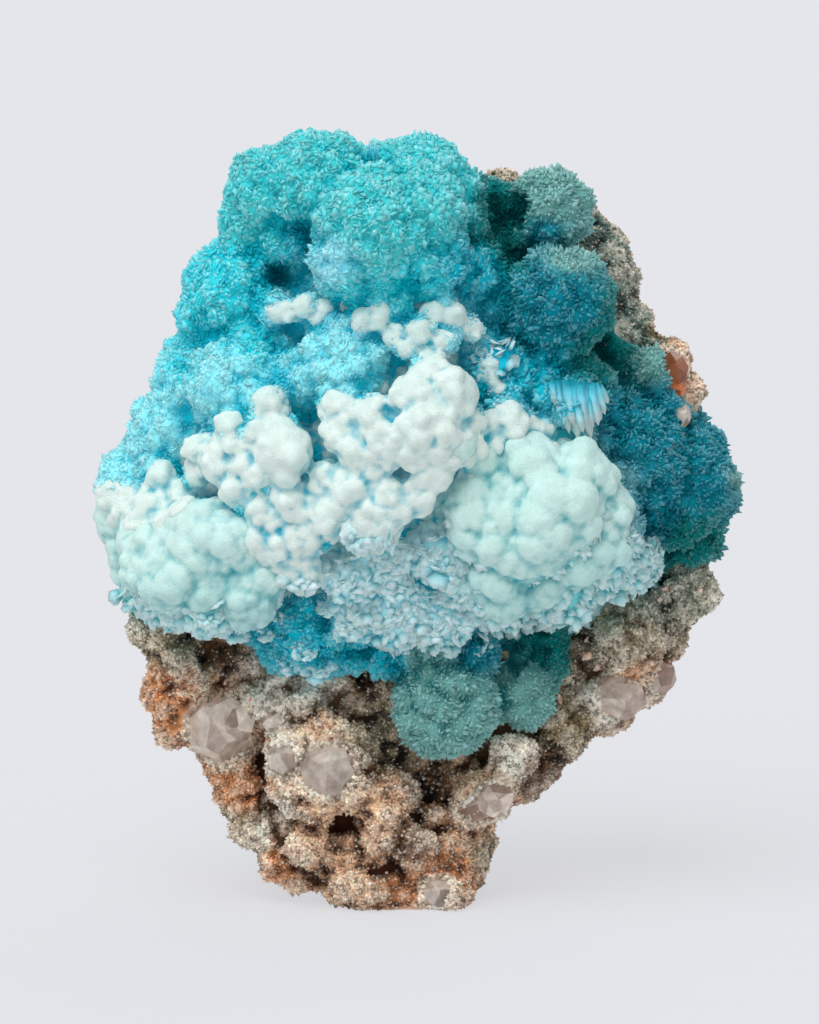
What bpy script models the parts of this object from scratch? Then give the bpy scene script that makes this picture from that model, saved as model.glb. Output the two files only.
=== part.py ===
"""A hand specimen of blue hemimorphite on a quartz-studded rock matrix.

Lumps are listed as the front view sees them, in millimetres: across to the right, up, and out
towards the viewer. That view looks down on the specimen by VIEW_TILT. The row frame has +Z up and
the front facing -Y, and its origin is the middle of the sawn foot that the specimen stands on.
"""

import math

import bmesh
import bpy
import numpy as np
from mathutils import Matrix, Vector, noise

MM = 0.001
VIEW_TILT = math.radians(10)
FOOT_EDGE_OUT = 14
FOOT_EDGE_UP = -1
GAP = 0.45 * MM
BALL_DIVISIONS = 3
PIT_DIVISIONS = 2

MATRIX_VOXEL = 1.3 * MM
CRUST_VOXEL = 1.0 * MM
MATRIX_TRIANGLES = 2200
CRUST_TRIANGLES = 4340

ROCK_ROUGHNESS = 1.5 * MM
ROCK_GRAIN = 10 * MM
HIDDEN_ABOVE = 62 * MM
HIDDEN_LEFT = -44 * MM
HIDDEN_RIGHT = 28 * MM
HIDDEN_FACING = -0.3
CRUST_ROUGHNESS = 0.45 * MM
CRUST_GRAIN = 5 * MM

# Rock bodies, each the convex hull of balls (across, up, out, radius), in mm
ROCK_SLAB = [
    (-44, 100, -12, 8),
    (-48, 68, -12, 8),
    (-40, 60, -18, 8),
    (51, 66, -16, 8),
    (50, 92, -14, 7),
    (43, 109, -17, 7),
    (33, 129, -19, 8),
    (8, 134, -18, 8),
    (-24, 124, -15, 8),
    (2, 84, -30, 11),
    (18, 108, -26, 8),
    (-22, 98, -25, 8),
    (24, 62, -26, 8),
    (-16, 56, -26, 9),
]
ROCK_BELLY = [
    (-45, 45, -4, 6.6),
    (-40, 38, -8, 6.6),
    (-28, 26, -6, 8),
    (9, 20, -6, 8),
    (16, 26, -12, 6),
    (44, 45, -13, 6),
    (50, 58, -14, 7),
    (-46, 58, -8, 8),
    (-12, 36, -25, 9),
    (16, 44, -25, 8),
    (-8, 52, 0, 10),
]
ROCK_FOOT = [
    (-9, 3, 8, 5),
    (8, 3, 8, 5),
    (-10, 2, -13, 5),
    (10, 2, -13, 5),
    (-20, 16, 2, 7),
    (7, 22, -4, 10),
    (-8, 34, -12, 13),
]

# Druse-coated lumps of the rock
LEFT_SHOULDER = [
    (-49.4, 58, 0, 8),
    (-45, 47.4, 3, 7),
    (-49.4, 42, 2, 4.8),
    (-46.4, 36, 2, 4.8),
    (-34, 47, 0, 6),
    (-25, 46.4, 4, 4.8),
    (-20, 40.4, 8, 5),
    (-29, 41, 8, 3.4),
    (-36.4, 30, 0, 6.4),
    (-34, 22.6, 2, 6),
]
CRYSTAL_NEST = [
    (-23, 33, 10, 6),
    (-16, 35.4, 10, 5.4),
    (-10.6, 30, 10, 5),
    (-12, 24, 11, 4.8),
    (-18, 21.4, 11, 5),
    (-24.4, 25, 10, 5.4),
    (-18, 28.6, 5, 9.4),
]
LOWER_LUMPS = [
    (-20, 12, 10, 4.6),
    (-27, 8.4, 5, 4.6),
    (-32, 15.6, 2, 5),
    (-5, 22, 9, 6.8),
    (-6, 14.4, 13, 4.6),
    (1, 12, 11, 4.8),
    (-10, 5.6, 9, 5.4),
    (6, 7, 6, 6.8),
    (-3, 3.4, 8, 4.4),
    (4, 20, 2, 6.4),
    (-5, 36.6, 2, 6),
    (-22, 5.4, 4, 4.2),
    (-15, 4, 7, 3.8),
    (13, 14.6, 2, 4.6),
]
RIGHT_SHOULDER = [
    (14.6, 22, 5, 6),
    (20, 30, 7, 5.4),
    (30, 37, -1, 6.4),
    (44, 54, 1, 8.4),
    (56, 63.4, -8, 6.4),
    (50, 58, -6, 5.6),
    (38, 41, -4, 5.8),
    (46, 45, -6, 5.6),
    (24, 27, -6, 4.2),
]
UPPER_RIM = [
    (38, 128, -14, 8),
    (31, 136, -16, 8),
    (41, 116, -11, 6.8),
    (50.6, 110, -9, 5.4),
    (54, 102.6, -9, 4.6),
    (18, 142, -17, 5.6),
]
BACK_LUMPS = [
    (-43, 50, -16, 8),
    (-37, 41, -20, 7),
    (-30, 46, -26, 9),
    (-26, 32, -22, 8),
    (-16, 24, -22, 9),
    (-2, 20, -22, 8),
    (8, 30, -26, 9),
    (20, 38, -26, 8),
    (30, 50, -26, 9),
    (42, 58, -22, 8),
    (-10, 44, -32, 8),
    (6, 50, -33, 7),
    (-36, 64, -26, 9),
    (-40, 82, -20, 8),
    (40, 84, -24, 9),
    (36, 100, -26, 8),
    (20, 122, -26, 8),
    (-4, 126, -25, 9),
    (-24, 112, -25, 8),
    (-14, 10, -14, 7),
    (10, 12, -14, 7),
]

# The sheet of hemimorphite that all its lobes grow from: a shallow dome
CRUST_SHEET = [
    (-33, 119, -4, 7),
    (-22, 136, -4, 8),
    (4, 140, -2, 7),
    (24, 134, -9, 7),
    (36, 114, -11, 7),
    (53, 88, -9, 9),
    (53, 74, -12, 7),
    (-51, 83, -5, 8),
    (-49, 67, -4, 8),
    (-22, 54, -1, 6),
    (8, 46, -2, 7),
    (28, 52, -8, 6),
    (-2, 90, 8, 14),
]

# Blue lobes, roughly round and crusted with small blades
UPPER_LEFT_LOBES = [
    (-18.6, 144.4, 9, 10.4),
    (-28, 143.4, 6, 8.4),
    (-31, 137.6, 5, 6.8),
    (-14, 147, 5, 7),
    (-24, 133.6, 6, 7),
    (-34, 132.6, 2, 4),
]
TOP_LOBES = [
    (-7, 135, 19, 12.4),
    (1, 138, 16, 10.4),
    (-12, 129, 20, 8),
    (4, 129, 18, 7.6),
    (-5, 123, 18, 6.4),
    (3, 146, 7, 8),
    (8.6, 142.6, 6, 6.2),
    (-3, 147, 6, 6),
    (11, 137, 8, 5),
]
LEFT_LOBES = [
    (-35.6, 122.6, 6, 9.8),
    (-39.2, 116.4, 4, 7),
    (-29.6, 120, 6, 7),
    (-41.2, 124.2, 3, 4.6),
]
LEFT_FLANK = [
    (-42.8, 104.6, 4, 8.8),
    (-46, 97, 4, 8),
    (-50, 91, 3, 7.8),
    (-54.4, 84.6, 2, 8.4),
    (-55.6, 78, 1, 7.6),
    (-53.4, 71, 1, 7),
    (-52, 63.6, 3, 6.4),
]
RIGHT_MASS = [
    (42, 89, 3, 14.4),
    (52.6, 84.6, -2, 12.4),
    (57, 83.6, -4, 9),
    (30, 101, 8, 11.6),
    (18, 105, 11, 10.4),
    (48, 96, -1, 9),
    (57, 74.6, -7, 6.6),
    (24, 108, 10, 8),
    (58.4, 91.4, -6, 5.4),
]
LEAF = [
    (28, 101, 18, 3.4),
    (32, 99, 19, 3.6),
    (35, 95, 18, 3),
    (37.6, 91.6, 16, 2.4),
]
UPPER_RIGHT_LOBES = [
    (29.6, 121, 11, 11),
    (22, 121, 8, 7.6),
    (27.6, 139, -1, 8.6),
    (11, 126.6, 8, 8.4),
    (16, 139, -5, 6.6),
    (48, 107, -2, 5),
]
LOWER_SKIRT = [
    (-20, 57, 11, 9),
    (-24, 53, 7, 6.6),
    (-16, 52, 10, 6),
    (-32, 59, 9, 6),
    (-12, 58, 16, 6),
    (-12, 51.6, 9, 4.6),
    (-5, 50.6, 10, 4.6),
    (2, 51.6, 11, 6),
    (-2, 60, 16, 7.6),
    (6, 58, 15, 7),
    (11, 51, 10, 7),
    (7, 40.6, 11, 10.6),
    (23, 42, 5, 6.4),
    (26, 50, -2, 7),
    (-5, 69.6, 22, 5),
    (-12, 66, 21, 4.4),
    (-3, 64, 21, 3.6),
]

# Lobes round the edge of the crust, where it is seen from the side
EDGE_LOBES = [
    (-15, 144, -5, 7.4),
    (-27, 138, -6, 7.4),
    (-34.6, 129, -6, 6.8),
    (-40, 118, -6, 6.6),
    (-44, 108, -7, 6.6),
    (-50, 97, -6, 6.6),
    (-55.6, 86.6, -6, 6.6),
    (-54.6, 76, -7, 6.6),
    (-52, 66, -6, 6),
    (4, 143, -5, 7.4),
    (-5, 141, -7, 6.6),
    (57.6, 86, -11, 6.6),
    (54, 95, -11, 6.4),
    (47, 102, -9, 6.4),
]

# Pale mounds of round lumps, like a cauliflower
LEFT_MOUND = [
    (-46, 69, 15, 10.4),
    (-39, 74, 19, 7.4),
    (-52, 73.6, 11, 6.6),
    (-33, 66, 18, 8),
    (-40, 63, 17, 7.6),
    (-48, 62, 12, 6),
    (-58, 82, 6, 3.4),
    (-55, 78.6, 9, 3.6),
    (-50, 80, 12, 3.8),
    (-49.4, 86.6, 11, 3),
    (-45, 83, 13, 3),
    (-44, 78, 20, 4),
    (-34, 73, 23, 4),
]
LEFT_CENTRE_MOUND = [
    (-34, 104.6, 13, 10.6),
    (-30, 111.6, 11, 6),
    (-30, 92, 18, 9.4),
    (-25, 92.6, 26, 5.2),
    (-37.6, 89.6, 21, 4),
    (-34, 83.6, 23, 3.6),
    (-30, 95, 25, 3.4),
    (-41, 92, 17, 3.4),
    (-42.4, 86.6, 16, 3),
    (-28, 100.6, 23, 4),
    (-30, 86, 25, 4.4),
    (-35, 95, 23, 3.6),
]
TOP_CENTRE_MOUND = [
    (-13, 108.6, 18, 9.6),
    (-20, 106, 16, 6.6),
    (-26, 119, 15, 3.6),
    (-21, 119.6, 17, 3.2),
    (-16.4, 118, 18, 3.2),
    (-9.6, 116.6, 21, 3.4),
    (-5, 117.6, 22, 3.2),
    (-1, 112.6, 24, 3.4),
    (3, 116, 23, 3.2),
    (7, 113, 23, 3.4),
    (8, 118.6, 20, 3),
    (12.4, 115.6, 18, 3),
]
CENTRE_MOUND = [
    (4, 97, 26, 8),
    (4, 106.6, 28, 4),
    (0.6, 102.6, 31, 4.2),
    (8, 102.6, 30, 4.2),
    (11.4, 97, 28, 4),
    (4, 97.6, 33, 4.4),
    (8.6, 92.4, 31, 4.2),
    (1, 92.6, 33, 4),
    (4.6, 87.4, 31, 4.2),
    (-14, 99.6, 26, 4),
    (-7.4, 98, 29, 4.4),
    (-13, 94, 28, 3.6),
    (-5, 92.6, 31, 4.4),
    (-9, 89, 29, 4),
    (-17, 86.6, 26, 3.2),
    (-13, 84.6, 28, 3.8),
    (-16, 79.6, 28, 3.8),
    (-17, 74.6, 26, 3),
    (-5.4, 84, 30, 3.4),
    (-7, 78.4, 27, 6.4),
    (1, 82, 29, 4),
    (-29, 78.6, 24, 4.2),
    (-23, 81.6, 26, 4.2),
    (-27, 72.6, 23, 5.2),
    (-21, 74, 25, 3.8),
    (-21, 67.6, 22, 4.6),
]
GREAT_MOUND = [
    (28, 78, 19, 13),
    (18, 77, 20, 10),
    (36, 76, 16, 10.4),
    (24, 86, 22, 7.4),
    (32, 85, 21, 7.6),
    (12.4, 81, 24, 6),
    (14, 90, 24, 4.8),
    (38.6, 82, 17, 5.4),
    (20, 69, 19, 8),
    (30, 65, 16, 7.4),
    (38, 70, 15, 6.6),
    (43.6, 69.6, 10, 6.4),
    (11, 65, 19, 4.4),
    (18, 62, 16, 5.6),
    (6, 70.6, 20, 5.2),
    (19, 96.6, 22, 4.8),
    (25, 96, 20, 2.8),
]

ROCK_LUMPS = (
    LEFT_SHOULDER + CRYSTAL_NEST + LOWER_LUMPS + RIGHT_SHOULDER + UPPER_RIM + BACK_LUMPS
)
BLUE_LOBES = (
    UPPER_LEFT_LOBES
    + TOP_LOBES
    + LEFT_LOBES
    + LEFT_FLANK
    + RIGHT_MASS
    + LEAF
    + UPPER_RIGHT_LOBES
    + LOWER_SKIRT
    + EDGE_LOBES
)
PALE_LUMPS = LEFT_MOUND + LEFT_CENTRE_MOUND + TOP_CENTRE_MOUND + CENTRE_MOUND + GREAT_MOUND

# Dark hollows
ROCK_PITS = [
    (-9, 45.6, 9, 3.4),
    (-13, 17.6, 9.6, 2.8),
    (6, 15.6, 10, 2.8),
    (-22, 20.6, 16.4, 2.4),
    (-40, 50.6, 7, 3.4),
    (4, 23.6, 8, 3.2),
    (-12.6, 28, 17, 3),
    (29, 31, 0, 3),
]
CRUST_PITS = [
    (38, 111.6, 2, 5.4),
    (19, 138.6, 3, 5.6),
    (-26, 125.6, 10, 3.4),
    (28, 51.6, 6, 4),
    (31, 132.6, 8, 2.6),
    (-21, 134.6, 15, 3),
    (-21.4, 97.6, 15, 2.4),
]

# Quartz: where each tip is seen, the way it points (across, up, out), radius, length and turn.
# Crystals that grew through each other are listed together and make one piece.
CRYSTALS = {
    "quartz_crystal_nest": [((-17.4, 29, 21.4), (-0.1, 0.15, 1), 5.4, 15, 20)],
    "quartz_crystal_nest_side": [((-26, 31, 18), (-0.15, 0.2, 1), 3.2, 11, 5)],
    "quartz_crystal_left": [
        ((-40.4, 40.4, 11.6), (-0.25, 0.45, 0.9), 6.4, 17, 12),
        ((-34.6, 36, 12.4), (0.05, -0.15, 1), 3.6, 12, 40),
    ],
    "quartz_crystal_left_small": [((-28, 38, 12.6), (-0.15, 0.1, 1), 2.4, 7, 35)],
    "quartz_crystal_right": [((42.8, 41, 6.6), (0.05, -0.2, 1), 4.8, 13, 10)],
    "quartz_crystal_edge": [((53, 48.4, 0.6), (0.5, 0.5, 0.6), 2.8, 7, 15)],
    "quartz_crystal_foot": [((5.8, 3.6, 15.4), (0.05, 0.1, 1), 3.1, 8, 0)],
    "quartz_crystal_lower_right": [
        ((20.6, 23, 12.4), (0.75, 0.3, 0.7), 3, 13, 25),
        ((15.4, 21.4, 14.4), (-0.2, 0.1, 1), 2.6, 9, 5),
    ],
    "quartz_crystal_rim": [
        ((53, 108.6, 2), (0.2, 0.25, 1), 3.6, 12, 40),
        ((54, 103.4, 1), (0.35, -0.2, 1), 2.4, 9, 10),
    ],
    "quartz_crystal_rim_clear": [((55, 98.8, 5.4), (0.4, 0.1, 1), 2.6, 9, 20)],
}
PYRAMID_SLOPE = math.radians(52)
PYRAMID_STEPS = [0.0, 0.16, 0.05, 0.22, 0.02, 0.12]


def clear_scene():
    for obj in list(bpy.data.objects):
        bpy.data.objects.remove(obj)


def seen_direction(across, up, out):
    """The row-frame direction of one given as the tilted front view sees it."""
    sine, cosine = math.sin(VIEW_TILT), math.cos(VIEW_TILT)
    return Vector((across, up * sine - out * cosine, up * cosine + out * sine))


def seen_point(across, up, out):
    """The row-frame point seen at (across, up), out mm in front of the foot's middle."""
    rise = (out - FOOT_EDGE_OUT) * math.sin(VIEW_TILT)
    height = (up - FOOT_EDGE_UP + rise) / math.cos(VIEW_TILT)
    return Vector((across, -out, height)) * MM


def unit_ball(divisions):
    """The corners and triangles of a faceted ball of radius 1."""
    bm = bmesh.new()
    bmesh.ops.create_icosphere(bm, subdivisions=divisions, radius=1)
    corners = np.array([v.co for v in bm.verts])
    triangles = np.array([[v.index for v in f.verts] for f in bm.faces])
    bm.free()
    return corners, triangles


def balls_mesh(lumps, divisions=BALL_DIVISIONS):
    """One mesh of a ball for each lump."""
    corners, triangles = unit_ball(divisions)
    points = [corners * lump[3] * MM + np.array(seen_point(*lump[:3])) for lump in lumps]
    faces = [triangles + i * len(corners) for i in range(len(lumps))]
    mesh = bpy.data.meshes.new("balls")
    mesh.from_pydata(np.concatenate(points).tolist(), [], np.concatenate(faces).tolist())
    return mesh


def add_mesh(bm, mesh):
    bm.from_mesh(mesh)
    bpy.data.meshes.remove(mesh)


def add_hull(bm, lumps):
    """Adds the convex hull of several balls."""
    hull = bmesh.new()
    add_mesh(hull, balls_mesh(lumps))
    made = bmesh.ops.convex_hull(hull, input=hull.verts)
    inside = [e for e in made["geom_interior"] if isinstance(e, bmesh.types.BMVert)]
    bmesh.ops.delete(hull, geom=inside, context="VERTS")
    mesh = bpy.data.meshes.new("hull")
    hull.to_mesh(mesh)
    hull.free()
    add_mesh(bm, mesh)


def behind_crust(vertex):
    """Whether this part of the rock's face lies under the crust, where it is left smooth."""
    x, _, z = vertex.co
    facing = vertex.normal.y < HIDDEN_FACING
    return facing and z > HIDDEN_ABOVE and HIDDEN_LEFT < x < HIDDEN_RIGHT


def roughen(mesh, amount, grain, is_smooth):
    """Pushes each vertex in or out by smooth noise of the given grain."""
    pushed = []
    for vertex in mesh.vertices:
        push = noise.noise(vertex.co / grain) + 0.5 * noise.noise(vertex.co * 2 / grain)
        height = 0 if is_smooth(vertex) else amount * push
        pushed.append(vertex.co + vertex.normal * height)
    mesh.vertices.foreach_set("co", np.array(pushed).ravel())


def new_object(name, mesh):
    obj = bpy.data.objects.new(name, mesh)
    bpy.context.scene.collection.objects.link(obj)
    return obj


def baked_mesh(obj):
    """The object's mesh with its modifiers applied."""
    bpy.context.view_layer.update()
    graph = bpy.context.evaluated_depsgraph_get()
    return bpy.data.meshes.new_from_object(obj.evaluated_get(graph))


def fused(name, bm, voxel, roughness, grain, triangles, is_smooth=lambda vertex: False):
    """One closed skin round overlapping shapes, roughened and cut down to so many triangles."""
    mesh = bpy.data.meshes.new(name)
    bm.to_mesh(mesh)
    bm.free()
    obj = new_object(name, mesh)
    remesh = obj.modifiers.new("skin", "REMESH")
    remesh.mode = "VOXEL"
    remesh.voxel_size = voxel
    smooth = obj.modifiers.new("smooth", "SMOOTH")
    smooth.iterations = 2
    obj.data = baked_mesh(obj)
    obj.modifiers.clear()
    roughen(obj.data, roughness, grain, is_smooth)
    thin = obj.modifiers.new("thin", "DECIMATE")
    thin.ratio = triangles / (2 * len(obj.data.polygons))
    obj.data = baked_mesh(obj)
    obj.modifiers.clear()
    return obj


def cut_flat_foot(obj):
    """Saws the rock off level where it stands."""
    bm = bmesh.new()
    bm.from_mesh(obj.data)
    everything = bm.verts[:] + bm.edges[:] + bm.faces[:]
    sawn = bmesh.ops.bisect_plane(
        bm, geom=everything, plane_co=(0, 0, 0), plane_no=(0, 0, 1), clear_inner=True
    )
    rim = [e for e in sawn["geom_cut"] if isinstance(e, bmesh.types.BMEdge)]
    bmesh.ops.holes_fill(bm, edges=rim, sides=0)
    bmesh.ops.triangulate(bm, faces=bm.faces)
    bmesh.ops.recalc_face_normals(bm, faces=bm.faces)
    bm.to_mesh(obj.data)
    bm.free()


def grown_copy(obj, name, growth):
    """A cutter: the object swollen by growth, so that what it cuts keeps a gap to it."""
    cutter = new_object(name, obj.data.copy())
    swell = cutter.modifiers.new("swell", "DISPLACE")
    swell.direction = "NORMAL"
    swell.mid_level = 0
    swell.strength = growth
    cutter.hide_render = True
    cutter.display_type = "WIRE"
    return cutter


def combine(obj, other, operation):
    """Joins the other solid to the object, or takes it away."""
    step = obj.modifiers.new("combine", "BOOLEAN")
    step.operation = operation
    step.solver = "EXACT"
    step.object = other
    obj.data = baked_mesh(obj)
    obj.modifiers.clear()


def dig_pits(obj, pits):
    """Takes a ball away at each hollow."""
    balls = new_object(obj.name + "_pits", balls_mesh(pits, PIT_DIVISIONS))
    combine(obj, balls, "DIFFERENCE")
    bpy.data.objects.remove(balls)


def keep_largest_island(obj):
    """Removes crumbs that a cut leaves loose."""
    bm = bmesh.new()
    bm.from_mesh(obj.data)
    left = set(bm.verts)
    islands = []
    while left:
        island = {left.pop()}
        edge_of_island = list(island)
        while edge_of_island:
            vertex = edge_of_island.pop()
            for edge in vertex.link_edges:
                other = edge.other_vert(vertex)
                if other not in island:
                    island.add(other)
                    edge_of_island.append(other)
        left -= island
        islands.append(island)
    largest = max(islands, key=len)
    crumbs = [v for v in bm.verts if v not in largest]
    bmesh.ops.delete(bm, geom=crumbs, context="VERTS")
    bm.to_mesh(obj.data)
    bm.free()


def quartz_mesh(name, radius, length):
    """A six-sided prism along Z, ended by six faces at uneven heights, with its tip at the origin."""
    bm = bmesh.new()
    bmesh.ops.create_cone(
        bm,
        cap_ends=True,
        segments=6,
        radius1=radius,
        radius2=radius,
        depth=2 * length,
        matrix=Matrix.Identity(4),
    )
    for side, step in enumerate(PYRAMID_STEPS):
        turn = math.radians(60 * side + 30)
        normal = Vector((math.cos(turn), math.sin(turn), 0)) * math.sin(PYRAMID_SLOPE)
        normal.z = math.cos(PYRAMID_SLOPE)
        point = Vector((0, 0, -step * radius))
        everything = bm.verts[:] + bm.edges[:] + bm.faces[:]
        sliced = bmesh.ops.bisect_plane(
            bm, geom=everything, plane_co=point, plane_no=normal, clear_outer=True
        )
        rim = [e for e in sliced["geom_cut"] if isinstance(e, bmesh.types.BMEdge)]
        bmesh.ops.holes_fill(bm, edges=rim, sides=0)
    bmesh.ops.remove_doubles(bm, verts=bm.verts, dist=0.01 * MM)
    bmesh.ops.recalc_face_normals(bm, faces=bm.faces)
    mesh = bpy.data.meshes.new(name)
    bm.to_mesh(mesh)
    bm.free()
    return mesh


def quartz_crystal(name, tip, way, radius, length, turn):
    """One crystal, pointing the way given, with its tip where the front view sees it."""
    crystal = new_object(name, quartz_mesh(name, radius * MM, length * MM))
    towards = seen_direction(*way).to_track_quat("Z", "Y")
    turned = towards.to_matrix().to_4x4() @ Matrix.Rotation(math.radians(turn), 4, "Z")
    crystal.data.transform(Matrix.Translation(seen_point(*tip)) @ turned)
    return crystal


def quartz_piece(name, crystals):
    """Crystals that grew through each other, joined in one solid."""
    first, *others = [quartz_crystal(name, *facts) for facts in crystals]
    for other in others:
        combine(first, other, "UNION")
        bpy.data.objects.remove(other)
    return first


def paint(obj, name, colour, roughness, transmission=0.0):
    material = bpy.data.materials.new(name)
    material.use_nodes = True
    shader = material.node_tree.nodes["Principled BSDF"]
    shader.inputs["Base Color"].default_value = (*colour, 1)
    shader.inputs["Roughness"].default_value = roughness
    shader.inputs["Metallic"].default_value = 0
    shader.inputs["Transmission Weight"].default_value = transmission
    obj.data.materials.clear()
    obj.data.materials.append(material)


def make_matrix():
    """The rock: a plain body with druse-coated lumps, sawn level at its foot."""
    bm = bmesh.new()
    add_hull(bm, ROCK_SLAB)
    add_hull(bm, ROCK_BELLY)
    add_hull(bm, ROCK_FOOT)
    add_mesh(bm, balls_mesh(ROCK_LUMPS))
    rock = fused(
        "quartz_matrix",
        bm,
        MATRIX_VOXEL,
        ROCK_ROUGHNESS,
        ROCK_GRAIN,
        MATRIX_TRIANGLES,
        behind_crust,
    )
    cut_flat_foot(rock)
    dig_pits(rock, ROCK_PITS)
    return rock


def make_crust(rock):
    """The hemimorphite: one grown skin of blue lobes and pale lumpy mounds on the rock."""
    bm = bmesh.new()
    add_hull(bm, CRUST_SHEET)
    add_mesh(bm, balls_mesh(BLUE_LOBES + PALE_LUMPS))
    crust = fused(
        "hemimorphite_crust", bm, CRUST_VOXEL, CRUST_ROUGHNESS, CRUST_GRAIN, CRUST_TRIANGLES
    )
    dig_pits(crust, CRUST_PITS)
    combine(crust, grown_copy(rock, "rock_cutter", GAP), "DIFFERENCE")
    keep_largest_island(crust)
    return crust


def make_crystals(rock, crust):
    """The bare quartz crystals, each in a socket in what it grows through."""
    crystals = [quartz_piece(name, group) for name, group in CRYSTALS.items()]
    for crystal in crystals:
        cutter = grown_copy(crystal, crystal.name + "_cutter", GAP)
        combine(rock, cutter, "DIFFERENCE")
        combine(crust, cutter, "DIFFERENCE")
    keep_largest_island(rock)
    keep_largest_island(crust)
    return crystals


def main():
    clear_scene()
    rock = make_matrix()
    crust = make_crust(rock)
    crystals = make_crystals(rock, crust)
    paint(rock, "rock", (0.42, 0.30, 0.20), 0.8)
    paint(crust, "hemimorphite", (0.20, 0.62, 0.70), 0.5)
    for crystal in crystals:
        paint(crystal, "quartz", (0.85, 0.80, 0.76), 0.1, 0.8)


main()
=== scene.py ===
"""A hemimorphite specimen: blue drusy lobes and white knobbly mounds grown over quartz-studded rock.

The rock and the crust get a finely modelled skin over the frame's solids, and the small crystals that
cover them are planted on that skin. Places called "seen" are where the front view sees them, in
millimetres: across to the right of the foot's middle, and up from the foot's front edge.
"""

import math

import bmesh
import bpy
import numpy as np
from bpy.props import FloatProperty, FloatVectorProperty, IntProperty, PointerProperty
from mathutils import Matrix, Vector, kdtree, noise
from mathutils.bvhtree import BVHTree


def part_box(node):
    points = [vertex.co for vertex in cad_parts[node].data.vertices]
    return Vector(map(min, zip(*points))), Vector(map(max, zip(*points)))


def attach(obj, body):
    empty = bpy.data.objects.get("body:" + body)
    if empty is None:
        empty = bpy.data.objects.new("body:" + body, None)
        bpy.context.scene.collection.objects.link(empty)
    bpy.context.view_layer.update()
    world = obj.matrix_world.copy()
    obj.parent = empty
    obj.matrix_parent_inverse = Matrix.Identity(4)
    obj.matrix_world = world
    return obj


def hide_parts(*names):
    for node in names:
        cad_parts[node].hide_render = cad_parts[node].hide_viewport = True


bl_info = {
    "name": "Hemimorphite Specimen",
    "version": (1, 0, 0),
    "blender": (4, 5, 0),
    "location": "View3D > Sidebar > Specimen",
    "description": "Models a hemimorphite specimen with its druse, its quartz crystals and a studio",
    "category": "Add Mesh",
}

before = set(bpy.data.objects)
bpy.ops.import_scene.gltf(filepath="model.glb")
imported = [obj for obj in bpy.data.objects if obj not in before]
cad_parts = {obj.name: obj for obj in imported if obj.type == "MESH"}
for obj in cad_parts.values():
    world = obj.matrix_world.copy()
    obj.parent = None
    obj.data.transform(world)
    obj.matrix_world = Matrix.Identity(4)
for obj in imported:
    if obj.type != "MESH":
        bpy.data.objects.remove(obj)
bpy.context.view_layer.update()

MM = 0.001
VIEW_TILT = math.radians(10)
SEEN_RISE = 1.43
BODY = "root"

# What covers the crust
BLADES, FLAKES, KNOBS, LOBES = range(4)


def zones(*groups):
    """A row for each place of each finish: across, up, radius in mm as seen from in front, finish."""
    return tuple((*place, finish) for finish, *places in groups for place in places)


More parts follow.
